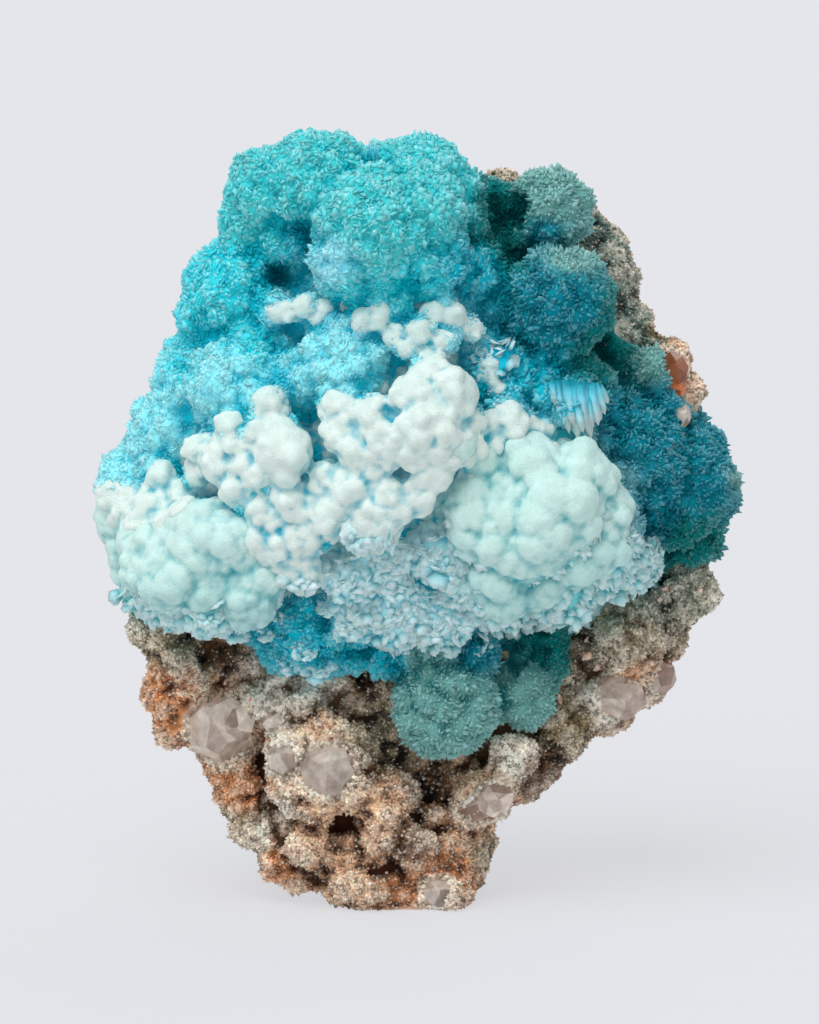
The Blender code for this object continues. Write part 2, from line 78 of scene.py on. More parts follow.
CRUST_ZONES = zones(
    ("turquoise", (-19, 145, 11), (-28, 143, 9), (-31, 136, 7)),
    ("teal", (-22, 134, 5)),
    ("turquoise", (-2, 137, 14), (-9, 143, 7)),
    ("fringe", (-15, 129, 5)),
    ("turquoise", (7, 140, 6), (4, 149, 8)),
    ("cyan", (0, 124, 8), (-12, 121, 5), (-35, 125, 11), (-39, 118, 8)),
    ("deep", (-27, 126, 4)),
    ("teal", (12, 127, 8)),
    ("abyss", (19, 138, 7), (15, 133, 5), (17, 143, 4), (20, 130, 4)),
    ("frost", (28, 142, 8)),
    ("deep", (27, 135, 5), (30, 121, 10)),
    ("frost", (32, 129, 6)),
    ("deep", (24, 114, 6)),
    ("abyss", (38, 111, 7), (42, 121, 6)),
    ("frost", (47, 108, 5)),
    ("deep", (46, 96, 11), (57, 87, 10), (49, 81, 9)),
    ("frost", (64, 86, 3)),
    ("abyss", (57, 73, 8)),
    ("teal", (33, 100, 5), (24, 105, 8), (15, 104, 6)),
    ("leaf", (17, 109, 4)),
    ("pale", (-13, 109, 9), (-34, 104, 11)),
    ("cyan", (-30, 112, 5)),
    ("pale", (-47, 101, 7), (-52, 93, 7)),
    ("cyan", (-45, 107, 4)),
    ("pale", (-57, 88, 5)),
    ("fringe", (-26, 119, 4), (-21, 119, 4), (-15, 118, 4), (-8, 116, 5), (0, 114, 5), (8, 117, 6),
        (13, 115, 3)),
    ("white", (4, 104, 6), (9, 98, 5), (2, 96, 8), (6, 88, 5), (-14, 99, 4), (-7, 98, 5), (-12, 93, 5),
        (-6, 89, 5), (-26, 92, 6), (-36, 89, 6), (-42, 88, 4), (-28, 100, 4)),
    ("cyan", (-22, 98, 2.5), (-18, 101.6, 2), (-19.4, 90.6, 1.6)),
    ("teal", (-20.4, 87.4, 2.2)),
    ("cyan", (-24, 84.8, 1.6), (-29.4, 83.2, 1.8), (-34.4, 79.2, 2.2), (-32.4, 74, 1.4)),
    ("teal", (-29, 68.4, 1.4)),
    ("cyan", (-46, 87.6, 2.2), (-44, 85.4, 1.8), (-41, 81.6, 2)),
    ("teal", (-17, 73, 2), (-5, 75.6, 1.6)),
    ("deep", (8, 87.4, 1.6)),
    ("teal", (13, 100.6, 2.4)),
    ("cyan", (-1, 108.6, 2)),
    ("white", (-15, 83, 5), (-16, 77, 5), (-6, 80, 7), (2, 81, 5), (-29, 79, 5), (-23, 81, 5),
        (-26, 73, 6), (-20, 68, 5), (-39, 76, 8)),
    ("mint", (-48, 71, 10), (-57, 77, 6)),
    ("white", (-50, 80, 5), (-57, 82, 4)),
    ("mint", (-32, 66, 7)),
    ("sea", (-42, 60, 7), (-52, 61, 6)),
    ("teal", (-31, 58, 5)),
    ("white", (19, 97, 5), (26, 95, 3)),
    ("mint", (14, 90, 5), (24, 85, 8), (32, 85, 8), (28, 78, 11), (13, 80, 7), (39, 80, 7),
        (20, 70, 7)),
    ("sea", (31, 68, 7), (42, 70, 6), (20, 62, 5), (31, 60, 6)),
    ("ice", (7, 71, 5), (11, 65, 4), (-5, 70, 5), (-3, 64, 5), (-12, 66, 5), (-10, 61, 4), (-12, 57, 4),
        (-3, 56, 4)),
    ("teal", (-7, 51.5, 4)),
    ("ice", (5, 57, 5), (11, 58, 4)),
    ("teal", (-20, 59, 5), (-22, 53, 7), (-13, 51, 4), (-4, 50, 4)),
    ("frost", (3, 51, 4), (7, 41, 10), (23, 42, 7)),
    ("abyss", (28, 53, 8)),
    ("deep", (14, 51, 5)),
)

# What grows on each finish, and how long its blades are as a share of their usual length
GROWTH = {
    "turquoise": (BLADES, 1.0),
    "cyan": (BLADES, 0.9),
    "teal": (BLADES, 1.0),
    "deep": (BLADES, 1.1),
    "abyss": (BLADES, 0.95),
    "frost": (BLADES, 1.1),
    "pale": (BLADES, 0.6),
    "fringe": (BLADES, 0.6),
    "white": (KNOBS, 0.6),
    "mint": (LOBES, 0.6),
    "ice": (FLAKES, 0.9),
    "sea": (FLAKES, 0.9),
    "leaf": (FLAKES, 1.1),
}
# Finishes whose blades are narrow and stand upright
SLENDER = ("frost", "deep", "abyss")

# Round knobs of the cauliflower mounds: across, up, radius in mm, as the front view sees them
MOUND_KNOBS = (
    (-26.8, 118.4, 2), (-24, 118.8, 1.8), (-21.4, 119.8, 2), (-18, 117.2, 1.6), (-17, 119.8, 1.6),
    (-12, 119.6, 2), (-9.2, 117.2, 2.2), (-6, 116.2, 2), (-6, 118.8, 1.6), (-2.8, 114.4, 2),
    (-1.2, 111.4, 1.6), (2, 114.6, 2.2), (6.4, 112.8, 1.8), (5, 118.6, 2.2), (8.4, 118.2, 2.4),
    (12.2, 115.4, 2), (2, 120.6, 1.6), (16, 107.2, 2.2), (17.4, 103.2, 2), (3, 110.2, 2),
    (8, 109.2, 2.8), (3.4, 106.2, 2.8), (7.4, 104.6, 4), (9.6, 101.6, 3.6), (1.4, 97.6, 4.4),
    (-2.4, 102.2, 2.4), (7, 95.6, 4), (5.4, 90.2, 4.2), (-0.4, 90.2, 3), (-6, 95.2, 3),
    (-11, 91.6, 3.4), (-14, 95.8, 3), (-18, 95.2, 2), (-7.6, 98.6, 2.8), (-13.2, 100.2, 2.4),
    (-16.6, 100.2, 2.2), (-7.8, 87.4, 2), (-4.8, 88.4, 2.2), (-15, 93.2, 2), (-2, 93.6, 3),
    (3, 102.6, 2.8), (-9, 95.2, 2.4), (-30, 95.4, 2.2), (-25.6, 96.6, 1.8), (-24.4, 90.6, 4.8),
    (-27.6, 101.2, 2.4), (-38, 88.2, 3), (-34.2, 83.6, 3.2), (-30.6, 85.6, 2), (-41.6, 84.2, 1.8),
    (-42.4, 91.6, 2.4), (-36, 97.6, 2.4), (-33, 89.2, 2.4), (-35, 92.6, 2), (-40, 93.6, 2),
    (-37.6, 91.2, 2), (-29, 87.6, 2.4), (-41, 87.6, 1.8), (-29.6, 79.8, 2.8), (-24, 81.6, 2.8),
    (-30.6, 73.2, 3), (-26, 73.6, 3), (-21.6, 74.2, 3.6), (-27, 77.2, 2.4), (-21, 78.2, 2.6),
    (-21.6, 69.6, 2.8), (-17.6, 87.2, 2.2), (-18, 84.2, 2), (-17, 77.2, 2.8), (-17, 74.6, 2),
    (-11.6, 84.6, 3.8), (-14, 80.2, 3), (-7.6, 88.2, 1.8), (-4, 82.2, 2.6), (3, 81.6, 2.8),
    (0.4, 84.4, 1.8), (-1.6, 79.2, 3), (-8, 80.2, 2.8), (6, 84.2, 1.4), (-49.6, 86.6, 2.4),
    (-45.8, 84.2, 2), (-61, 82.6, 2.4), (-57.6, 80.2, 2.4), (-52.6, 80.6, 3.2), (-55, 77.2, 2.4),
    (-49, 77.2, 3), (-59, 77.6, 2), (-52, 83.6, 1.8), (16, 97.6, 2.4), (20, 96.6, 3.2),
    (19, 98.6, 2.2), (24, 96.4, 1.6), (27.2, 94.4, 1.4), (13, 91.6, 3), (17, 92.2, 2.4),
    (12, 90, 2), (23.4, 92.6, 2), (11.4, 86.2, 2), (8.6, 85.2, 1.6),
)
# Broad smooth lobes of the two great mounds
MOUND_LOBES = (
    (23, 89, 4.8), (33, 88.6, 4.4), (38, 86.8, 3.6), (29, 82.2, 7.2), (15, 79.6, 5.2),
    (40.8, 80.6, 3.8), (33, 77.6, 4), (38.4, 72.6, 4.8), (12, 75, 4.6), (18, 76, 6), (22, 71.2, 6.4),
    (26.4, 64.6, 5.6), (17.4, 64.2, 5.4), (12, 65, 2.6), (34, 68.6, 5.6), (27, 75.6, 6),
    (20.4, 82.6, 5), (-42.6, 76.6, 4), (-37.8, 79.2, 3), (-44, 71.6, 5.6), (-37.6, 71.6, 5.2),
    (-47.6, 65.6, 5.6), (-54, 67.6, 4), (-40.6, 64.6, 5.2), (-33, 69.6, 3.2), (-32, 61.6, 5),
    (-28.8, 65.6, 4), (-58.8, 71.6, 2.6), (-54, 72.6, 3.2), (-58, 66.6, 2.4),
)
# Where rosettes of petals grow, under the mounds and in the patch between them
MOUND_SHELVES = (
    (18, 60, 3.6), (24.4, 59.2, 4), (31.4, 60, 4), (40, 65.2, 4), (44, 67.6, 3.6),
    (46.6, 70.4, 3), (43.4, 75.2, 2.4), (37, 62, 3.2), (14, 62, 2.8), (-46.6, 60, 3.6),
    (-40, 59.6, 3.2), (-52, 61.6, 3.2), (-35, 56.6, 3.2), (-28.4, 56.6, 2.8), (-22, 66.6, 4),
    (-25, 59.6, 2.4), (-4, 70.6, 3.6), (-2.8, 64.6, 3.2), (3.4, 72.6, 4.4), (7, 68.4, 4.4),
    (0.4, 58.2, 3.6), (4.6, 57.2, 3.6), (10.4, 58.6, 3), (-5, 59.2, 3.2), (-7, 73.6, 2.8),
    (-9.6, 75.2, 4), (-14, 72.6, 3.6), (-13, 66.2, 3), (-8.4, 67, 3), (-9.6, 60.8, 3.6),
    (-15.6, 61.2, 3), (-12, 57.6, 3.2), (-6.4, 57.4, 2.4), (9, 63.6, 2.8), (4, 63.6, 2.8),
    (-24, 49.6, 2.8), (-18, 48.6, 3.2), (-21, 52, 2.4), (14, 53.6, 2.6),
)

# The leaf's blades: across and up of the foot, turn from straight down, length, width in mm
LEAF_BLADES = (
    (28.0, 105.0, 7, 4.8, 1.8),
    (28.8, 105.2, 9, 8.0, 2.2),
    (29.8, 105.2, 8, 10.8, 2.2),
    (31.0, 105.2, 9, 9.4, 2.4),
    (32.0, 105.0, 8, 11.8, 2.4),
    (33.2, 105.0, 9, 10.0, 2.4),
    (34.2, 104.8, 10, 11.4, 2.4),
    (35.4, 104.8, 13, 8.8, 2.4),
    (36.4, 104.6, 18, 6.6, 2.2),
    (37.4, 104.4, 26, 4.2, 1.8),
    (30.4, 101.6, 4, 5.4, 2.0),
    (32.6, 101.8, 10, 7.2, 2.2),
    (34.8, 101.8, 12, 6.6, 2.2),
    (36.2, 102.0, 20, 5.0, 1.8),
)
NEEDLES = (
    (-8.4, 149.0, 172, 4.0, 0.6),
    (-7.6, 148.6, 180, 4.6, 0.5),
    (-6.8, 148.6, 184, 4.2, 0.6),
    (-6.0, 148.8, 196, 2.8, 0.5),
    (-9.4, 149.0, 164, 2.6, 0.6),
)
# Loose clear points among the druse: across, up, length in mm
STRAY_POINTS = (
    (36.4, 50.6, 3.2), (38, 48, 2.6), (39.2, 50.4, 2.2), (35.6, 53.6, 2.2), (48, 49.2, 2.6),
    (46, 50.6, 2), (18, 23.6, 3), (15.6, 21.6, 3.4), (22, 20.6, 2.4), (-32, 41.6, 2.4),
    (-29.6, 37.2, 2.2), (-37, 45, 2.2), (-27.6, 13.6, 2.8), (-25.4, 11.2, 2.2), (-16, 34, 2),
    (58, 63.6, 2), (50, 61.6, 2.4), (51.6, 63.6, 2), (47.6, 62.6, 2), (30, 41.6, 2),
    (4, 7.6, 2.4), (-10, 5.6, 2), (-1, 23.6, 2), (-44, 32, 2), (40, 44, 2.4), (43, 41, 2),
)

ROCK_ZONES = zones(
    ("moss", (-56, 60, 6)),
    ("grey_brown", (-49, 54, 6)),
    ("umber", (-40, 51, 5)),
    ("rust", (-49, 41, 7)),
    ("tan", (-40, 42, 6)),
    ("cream", (-28, 44, 6), (-21, 43, 7)),
    ("rust", (-34, 34, 5)),
    ("umber", (-9, 46, 4)),
    ("grey_brown", (-5, 35, 7)),
    ("tan", (-18, 37, 5)),
    ("iron", (-12.2, 29.5, 2.4), (-37, 44, 1.6), (48, 43, 2.6), (19, 20, 2)),
    ("tan", (-24, 26, 5), (-14, 21, 6)),
    ("umber", (-8, 28, 4)),
    ("rust", (-34, 23, 6)),
    ("cream", (-27, 20, 4)),
    ("grey_brown", (-35, 17, 5)),
    ("cream", (-30, 13, 5)),
    ("tan", (-20, 13, 6)),
    ("rust", (-27, 9, 5)),
    ("tan", (-18, 6, 5), (-10, 6, 6), (-5, 20, 6)),
    ("umber", (0, 13, 5), (4, 23, 5)),
    ("rust", (7, 7, 6), (-2, 3, 5)),
    ("tan", (14, 24, 6)),
    ("cream", (20, 31, 6)),
    ("tan", (13, 16, 6)),
    ("grey_brown", (16, 11, 5)),
    ("olive", (30, 37, 6)),
    ("umber", (27, 27, 5)),
    ("grey_brown", (44, 55, 8)),
    ("moss", (48, 61, 6), (57, 65, 7)),
    ("rust", (47, 44, 6)),
    ("cream", (38, 42, 5)),
    ("slate", (40, 130, 7), (31, 137, 7)),
    ("olive", (18, 145, 6)),
    ("slate", (44, 120, 7), (47, 113, 4)),
    ("olive", (50, 116, 3)),
    ("moss", (50, 106, 3)),
    ("tan", (53, 109, 5), (55, 102, 5)),
)
BACK_FINISHES = ("grey_brown", "rust", "umber", "tan", "olive")

# Lumps on each skin: height and size in mm of each layer
ROCK_LUMPS = ((1.3, 7.5), (0.55, 3.2))
CRUST_LUMPS = ((0.95, 4.6), (0.35, 2.2))

# How far from the quartz the rock is smoothed and painted pale, as painted light in the sockets
# seen through the clear crystals, and how far the grains grow larger there, in mm
SKIN_COLLAR, GRAIN_COLLAR = 2.5, 2.2
# How clear of the other skin a grain or blade has to be, in mm
GRAIN_CLEARANCE, BLADE_CLEARANCE = 0.6, 1.1
# How far towards the front view a place has to face to count as the rock's front
FRONT_FACING = 0.12
# Where the upper blades start, in mm up, and how many of all blades glint
UPPER_FROM, GLINT_SHARE = 106, 0.02
# How many petals fan out of each shelf, each small growth and each lobe's rim
SHELF_PETALS, SMALL_PETALS, RIM_PETALS = 22, 7, 60
# Smaller buds round each knob and each lobe, and their size as a share of it
KNOB_BUDS, LOBE_BUDS, BUD_SHARE = 7, 10, 0.42

# What the camera looks at, in mm as the front view sees it
AIM_ACROSS, AIM_UP = -0.1, 79.2
# Half the floor's side, in metres
FLOOR_REACH = 12

# Where each finish is, its colour as a screen shows it, and the colour painted into its creases and
# gaps as painted shade
FINISHES = {
    "turquoise": ("Upper lobes where light catches them", (66, 202, 206), (0, 182, 198)),
    "cyan": ("Left lobes and bare patches between the mounds", (40, 208, 220), (0, 172, 192)),
    "teal": ("Lobes in the middle and the lower skirt", (4, 176, 196), (0, 116, 136)),
    # The right side's lobes are partly a deeper blue of their own and partly painted shade, on the side
    # turned from the light; the darkest recesses are painted shade.
    "deep": ("The right side's dark lobes", (0, 128, 146), (0, 76, 92)),
    "abyss": ("The darkest recesses", (0, 118, 116), (0, 64, 68)),
    "frost": ("Grey-green frosted caps of lobes", (108, 162, 156), (4, 112, 118)),
    "pale": ("Smooth pale domes", (142, 228, 236), (16, 186, 208)),
    "fringe": ("The crust between the small knobs above", (140, 218, 230), (20, 176, 200)),
    "white": ("The crust below the white knobs", (198, 232, 236), (20, 182, 206)),
    "mint": ("The crust below the great mounds", (200, 232, 228), (60, 190, 200)),
    "knob": ("Knobs of the cauliflower mounds", (226, 236, 227), (62, 186, 206)),
    "lobe": ("Broad lobes of the great mounds", (202, 232, 225), (70, 172, 178)),
    "shelf": ("Thin shelves under the mounds", (240, 252, 248), (16, 172, 192)),
    "ice": ("Petals below the mounds", (170, 224, 230), (10, 164, 186)),
    "sea": ("Layered lower edges of the mounds", (120, 206, 208), (0, 142, 156)),
    "leaf": ("The saturated leafy flakes", (14, 186, 212), (0, 138, 164)),
    "tan": ("Druse on the lower lumps", (238, 192, 154), (74, 38, 20)),
    "rust": ("Iron-stained druse", (212, 142, 92), (56, 24, 12)),
    "iron": ("Red-brown stain in cavities", (158, 66, 30), (44, 14, 8)),
    "umber": ("Dark rock", (116, 76, 46), (12, 8, 6)),
    "grey_brown": ("Dull druse", (178, 160, 130), (34, 26, 20)),
    "cream": ("Clean white druse", (255, 242, 222), (96, 72, 50)),
    "moss": ("Grey-green druse next to the crust", (172, 176, 158), (30, 38, 34)),
    "slate": ("Grey-teal druse on the rim", (112, 138, 128), (18, 46, 44)),
    "olive": ("Olive-brown druse", (152, 132, 94), (30, 22, 14)),
}


def linear(red, green, blue):
    """A colour given as a screen shows it, 0 to 255, made linear."""
    parts = (channel / 255 for channel in (red, green, blue))
    return tuple(c / 12.92 if c <= 0.04045 else ((c + 0.055) / 1.055) ** 2.4 for c in parts)


def colour(name, description, *screen):
    return FloatVectorProperty(
        name=name,
        description=description,
        default=linear(*screen),
        subtype="COLOR",
        size=3,
        min=0,
        max=1,
    )


def length(name, description, millimetres):
    return FloatProperty(
        name=name, description=description, default=millimetres * MM, min=0, unit="LENGTH"
    )


def share(name, description, value):
    return FloatProperty(
        name=name, description=description, default=value, min=0, max=1, subtype="FACTOR"
    )


def finish_colour_pairs():
    """A colour for each finish and one for its creases, by property name."""
    pairs = {}
    for name, (where, face, painted_shading) in FINISHES.items():
        title = name.replace("_", " ").capitalize()
        pairs[name] = colour(title, where, *face)
        # A finish's second colour is the painted shade of its creases and gaps.
        pairs[name + "_hollow"] = colour(title + " hollow", "In creases and gaps: " + where, *painted_shading)
    return pairs


class SpecimenColours(bpy.types.PropertyGroup):
    quartz: colour("Quartz", "Tint of the clear crystals", 255, 244, 232)
    quartz_amber: colour("Amber quartz", "The stained crystals at the rim", 226, 140, 92)
    quartz_stain: colour("Iron stain", "Where iron stains the quartz at its foot", 176, 100, 58)
    floor: colour("Floor", "The studio floor", 114, 115, 118)


SpecimenColours.__annotations__.update(finish_colour_pairs())


class SpecimenSizes(bpy.types.PropertyGroup):
    skin_cell: length("Skin cell", "Size of the fine skin's faces", 0.8)
    mound_cell: length("Mound cell", "Size of the mounds' faces", 0.53)
    blade_length: length("Blade length", "Small hemimorphite blades on the blue lobes", 1.28)
    blade_spacing: length("Blade spacing", "Distance between blades", 0.84)
    filler_radius: length("Filler radius", "Small knobs between the placed ones", 1.7)
    grain_size: length("Grain size", "Sugary quartz grains on the rock", 1.22)
    grain_spacing: length("Grain spacing", "Distance between grains in front", 0.68)
    back_spacing: length("Back grain spacing", "Distance between grains behind", 1.08)
    camera_distance: length("Camera distance", "From the lens to the specimen", 2000)
    camera_frame: length("Camera frame", "Height of the picture at the specimen", 204.8)
    seed: IntProperty(name="Seed", description="Seed of every scatter", default=7, min=0)
    crust_glow: share("Crust glow", "How much light scatters inside the crust", 0.35)


def seen_direction(across, up, out):
    """A direction given as the front view sees it."""
    c, s = math.cos(VIEW_TILT), math.sin(VIEW_TILT)
    return Vector((across, up * s - out * c, up * c + out * s))


def facing(normals):
    """1 where a surface faces the front view, -1 where it faces away."""
    return normals @ (0, -math.cos(VIEW_TILT), math.sin(VIEW_TILT))


def settings():
    return bpy.context.scene.specimen_sizes


def finish_colours(names, ending=""):
    """One row of linear colour for each finish named."""
    colours = bpy.context.scene.specimen_colours
    return np.array([tuple(getattr(colours, name + ending)) for name in names])


def scatter(offset):
    """The random numbers of one step, the same in every run."""
    return np.random.default_rng(settings().seed + offset)


# Meshes as arrays


def new_object(name, mesh):
    thing = bpy.data.objects.new(name, mesh)
    bpy.context.scene.collection.objects.link(thing)
    return thing


def mesh_from(name, points, triangles):
    """A mesh from arrays, used where thousands of small shapes are joined in one."""
    mesh = bpy.data.meshes.new(name)
    mesh.vertices.add(len(points))
    mesh.vertices.foreach_set("co", np.ascontiguousarray(points, np.float32).ravel())
    mesh.loops.add(triangles.size)
    mesh.loops.foreach_set("vertex_index", triangles.astype(np.int32).ravel())
    mesh.polygons.add(len(triangles))
    mesh.polygons.foreach_set("loop_start", np.arange(0, triangles.size, 3, dtype=np.int32))
    mesh.update(calc_edges=True)
    return mesh


def baked(thing):
    """The object's mesh with its modifiers applied."""
    bpy.context.view_layer.update()
    graph = bpy.context.evaluated_depsgraph_get()
    return bpy.data.meshes.new_from_object(thing.evaluated_get(graph))


def read(collection, attribute, width=3):
    values = np.empty(len(collection) * width, np.float32)
    collection.foreach_get(attribute, values)
    return values.reshape(-1, width).astype(float) if width > 1 else values.astype(float)


def unit(vectors):
    return vectors / np.maximum(np.linalg.norm(vectors, axis=-1, keepdims=True), 1e-12)


def tree_of(thing):
    """The object's faces, for finding what is near and what a line meets."""
    return BVHTree.FromObject(thing, bpy.context.evaluated_depsgraph_get())


def outside(tree, places, gap):
    """Which places are out of the shape that the tree holds, and farther than the gap from it."""
    found = [tree.find_nearest(place) for place in places]
    return np.array(
        [near > gap and (Vector(place) - at).dot(normal) > 0
         for place, (at, normal, _, near) in zip(places, found)],
        bool,
    )


class Surface:
    """A skin's points, normals, triangles and edges as arrays."""

    def __init__(self, mesh):
        mesh.calc_loop_triangles()
        self.points = read(mesh.vertices, "co")
        self.normals = read(mesh.vertices, "normal")
        self.triangles = read(mesh.loop_triangles, "vertices").astype(int)
        self.edges = read(mesh.edges, "vertices", 2).astype(int)

    def relaxed(self, values, rounds):
        """The values averaged with their neighbours', so many rounds over."""
        one, other = self.edges.T
        size = len(values)
        neighbours = np.bincount(one, minlength=size) + np.bincount(other, minlength=size)
        for _ in range(rounds):
            mean = np.stack(
                [
                    np.bincount(one, column[other], size) + np.bincount(other, column[one], size)
                    for column in values.T
                ],
                axis=1,
            )
            values = 0.5 * (values + mean / neighbours[:, None])
        return values

    def hollowness(self, rounds, depth):
        """Above 0 in creases and below 0 on crests, at the scale that the rounds smooth."""
        sunk = self.relaxed(self.points, rounds) - self.points
        return np.einsum("ij,ij->i", sunk, self.normals) / depth

    def openness(self, tree, reach):
        """How much of the space over each point is free of other surface, from 0 to 1."""
        ball = ball_template(1)[0]
        values = []
        for point, normal in zip(self.points, self.normals):
            above = ball[ball @ normal > 0.1]
            start = Vector(point + 0.5 * MM * normal)
            free = [tree.ray_cast(start, Vector(way), reach)[0] is None for way in above]
            values.append(np.mean(free))
        return self.relaxed(np.array(values)[:, None], 3)[:, 0]

    def sampled(self, rng, spacing, crowd=3):
        """Random places on the surface about one spacing apart: triangles and barycentric shares."""
        corners = self.points[self.triangles]
        cross = np.cross(corners[:, 1] - corners[:, 0], corners[:, 2] - corners[:, 0])
        areas = np.linalg.norm(cross, axis=1) / 2
        count = int(crowd * areas.sum() / spacing**2)
        chosen = np.searchsorted(np.cumsum(areas), rng.random(count) * areas.sum())
        chosen = np.minimum(chosen, len(areas) - 1)
        root, along = np.sqrt(rng.random(count)), rng.random(count)
        shares = np.stack([1 - root, root * (1 - along), root * along], axis=1)
        places = np.einsum("nk,nkj->nj", shares, corners[chosen])
        cells = np.floor(places / spacing).astype(int)
        _, first = np.unique(cells, axis=0, return_index=True)
        first.sort()
        return chosen[first], shares[first]

    def at(self, values, where):
        """The values at sampled places."""
        chosen, shares = where
        corners = values[self.triangles[chosen]]
        return np.einsum("nk,nk...->n...", shares, corners)


def relief(points, grain, seed, octaves=2):
    """Smooth noise from about -1 to 1 at each point, with the given grain in metres."""
    shift = Vector((seed * 3.1, seed * 1.7, seed * 2.3))
    values = np.zeros(len(points))
    for octave in range(octaves):
        scale = 2**octave / grain
        values += [noise.noise(Vector(p) * scale + shift) / 2**octave for p in points]
    return values


def domes(points, grain, seed):
    """Round lumps with sharp creases between them, from about -1 to 1, of the given size."""
    shift = Vector((seed * 2.7, seed * 4.1, seed * 1.9))
    nearest = [noise.voronoi(Vector(p) / grain + shift)[0][0] for p in points]
    return 1 - 2.2 * np.array(nearest)


def vector_relief(points, grain, seed):
    """A smoothly varying random direction at each point."""
    columns = [relief(points, grain, seed + axis, octaves=1) for axis in range(3)]
    return np.stack(columns, axis=1)


def turned_to(directions, rolls):
    """Rotation matrices that turn Z to each direction, rolled about it."""
    z = unit(directions)
    side = np.where(np.abs(z[:, 2:3]) < 0.9, (0.0, 0.0, 1.0), (1.0, 0.0, 0.0))
    x = unit(np.cross(side, z))
    y = np.cross(z, x)
    c, s = np.cos(rolls)[:, None], np.sin(rolls)[:, None]
    return np.stack([c * x + s * y, c * y - s * x, z], axis=2)


def spaced(places, radii):
    """Indexes of places kept so that no two kept ones are nearer than their radius."""
    tree = kdtree.KDTree(len(places))
    for i, place in enumerate(places):
        tree.insert(place, i)
    tree.balance()
    free = np.ones(len(places), bool)
    kept = []
    for i, place in enumerate(places):
        if free[i]:
            kept.append(i)
            for _, other, _ in tree.find_range(place, radii[i]):
                free[other] = False
    return np.array(kept, int)


# Colour zones


def seen(points):
    """Where the front view sees each point, in millimetres across and up."""
    up = points[:, 2] * math.cos(VIEW_TILT) + points[:, 1] * math.sin(VIEW_TILT)
    return points[:, 0] / MM, up / MM + SEEN_RISE


def zone_shares(points, zones):
    """How much each zone has of each point: near zones take nearly all."""
    across, up = seen(points)
    across = across + 1.4 * relief(points, 5 * MM, 71)
    up = up + 1.4 * relief(points, 5 * MM, 73)
    zone_across, zone_up, radius = np.array([zone[:3] for zone in zones]).T
    reach = np.hypot(across[:, None] - zone_across, up[:, None] - zone_up) / radius
    weights = (reach**2 + 0.06) ** -2.6
    return weights / weights.sum(axis=1, keepdims=True)


def zone_tints(shares, zones):
    names = [zone[3] for zone in zones]
    return shares @ finish_colours(names), shares @ finish_colours(names, "_hollow")


def blended(low, high, amount):
    amount = np.clip(amount, 0, 1)[..., None]
    return low * (1 - amount) + high * amount


def set_tint(mesh, colours):
    """Stores a colour at every point, for the materials to read."""
    layer = mesh.color_attributes.new("tint", "FLOAT_COLOR", "POINT")
    full = np.ones((len(mesh.vertices), 4), np.float32)
    full[:, :3] = np.clip(colours, 0, 1)
    layer.data.foreach_set("color", full.ravel())


def set_number(mesh, name, values):
    layer = mesh.attributes.new(name, "FLOAT", "POINT")
    layer.data.foreach_set("value", values.astype(np.float32))


def stored(mesh, name):
    return read(mesh.attributes[name].data, "value", 1)


# Small shapes that are planted by the thousand


def template(bm):
    """A small shape's points, triangles and how far each point is from foot (0) to tip (1)."""
    bmesh.ops.triangulate(bm, faces=bm.faces)
    bmesh.ops.recalc_face_normals(bm, faces=bm.faces)
    points = np.array([v.co for v in bm.verts])
    triangles = np.array([[v.index for v in f.verts] for f in bm.faces])
    bm.free()
    low, high = points[:, 2].min(), points[:, 2].max()
    return points, triangles, (points[:, 2] - low) / (high - low)


def plate_template(outline):
    """A thin crystal plate of unit height along Z, thickest in its middle, with this outline."""
    bm = bmesh.new()
    bmesh.ops.create_uvsphere(bm, u_segments=len(outline), v_segments=2, radius=1)
    rim = sorted(
        (v for v in bm.verts if abs(v.co.z) < 0.5), key=lambda v: math.atan2(v.co.y, v.co.x)
    )
    for v in bm.verts:
        if v not in rim:
            v.co = (0, 0.13 * v.co.z, 0.42)
    for v, (x, z) in zip(rim, outline):
        v.co = (x, 0, z)
    return template(bm)


def blade_template():
    """A small bladed crystal with a slanting end."""
    return plate_template(((-0.34, 0), (0.36, 0), (0.46, 0.7), (0.06, 1), (-0.5, 0.6)))


def petal_template():
    """A broader plate with a jagged rim."""
    return plate_template(
        ((-0.3, 0), (0.34, 0), (0.52, 0.5), (0.4, 0.84), (0.2, 0.8), (0, 1), (-0.3, 0.82), (-0.5, 0.62))
    )


def needle_template():
    """A long blade that narrows to a point."""
    return plate_template(((-0.4, 0), (0.4, 0), (0.5, 0.5), (0.34, 0.84), (0.06, 1), (-0.36, 0.8)))


def point_template():
    """A six-sided quartz point of unit height."""
    bm = bmesh.new()
    bmesh.ops.create_cone(bm, cap_ends=True, segments=6, radius1=0.26, radius2=0.24, depth=0.7)
    bmesh.ops.translate(bm, verts=bm.verts, vec=(0, 0, 0.35))
    top = max(bm.faces, key=lambda face: face.calc_center_median().z)
    tip = bmesh.ops.poke(bm, faces=[top])["verts"]
    bmesh.ops.translate(bm, verts=tip, vec=(0.04, 0.03, 0.3))
    return template(bm)


def grain_template():
    """A stubby pointed quartz grain."""
    bm = bmesh.new()
    bmesh.ops.create_cone(bm, cap_ends=True, segments=4, radius1=0.6, radius2=0.1, depth=1.0)
    bmesh.ops.translate(bm, verts=bm.verts, vec=(0, 0, 0.5))
    top = [v for v in bm.verts if v.co.z > 0.9]
    bmesh.ops.pointmerge(bm, verts=top, merge_co=(0.12, 0.08, 1.0))
    return template(bm)


def ball_template(divisions):
    bm = bmesh.new()
    bmesh.ops.create_icosphere(bm, subdivisions=divisions, radius=1)
    return template(bm)


def stamped(shape, places, turns, scales):
    """The shape at every place, as one array of points and one of triangles."""
    points, triangles, _ = shape
    sized = points[None] * np.broadcast_to(scales, (len(places), 3))[:, None, :]
    where = np.einsum("nij,nkj->nki", turns, sized) + places[:, None, :]
    faces = triangles[None] + (np.arange(len(places)) * len(points))[:, None, None]
    return where.reshape(-1, 3), faces.reshape(-1, 3)


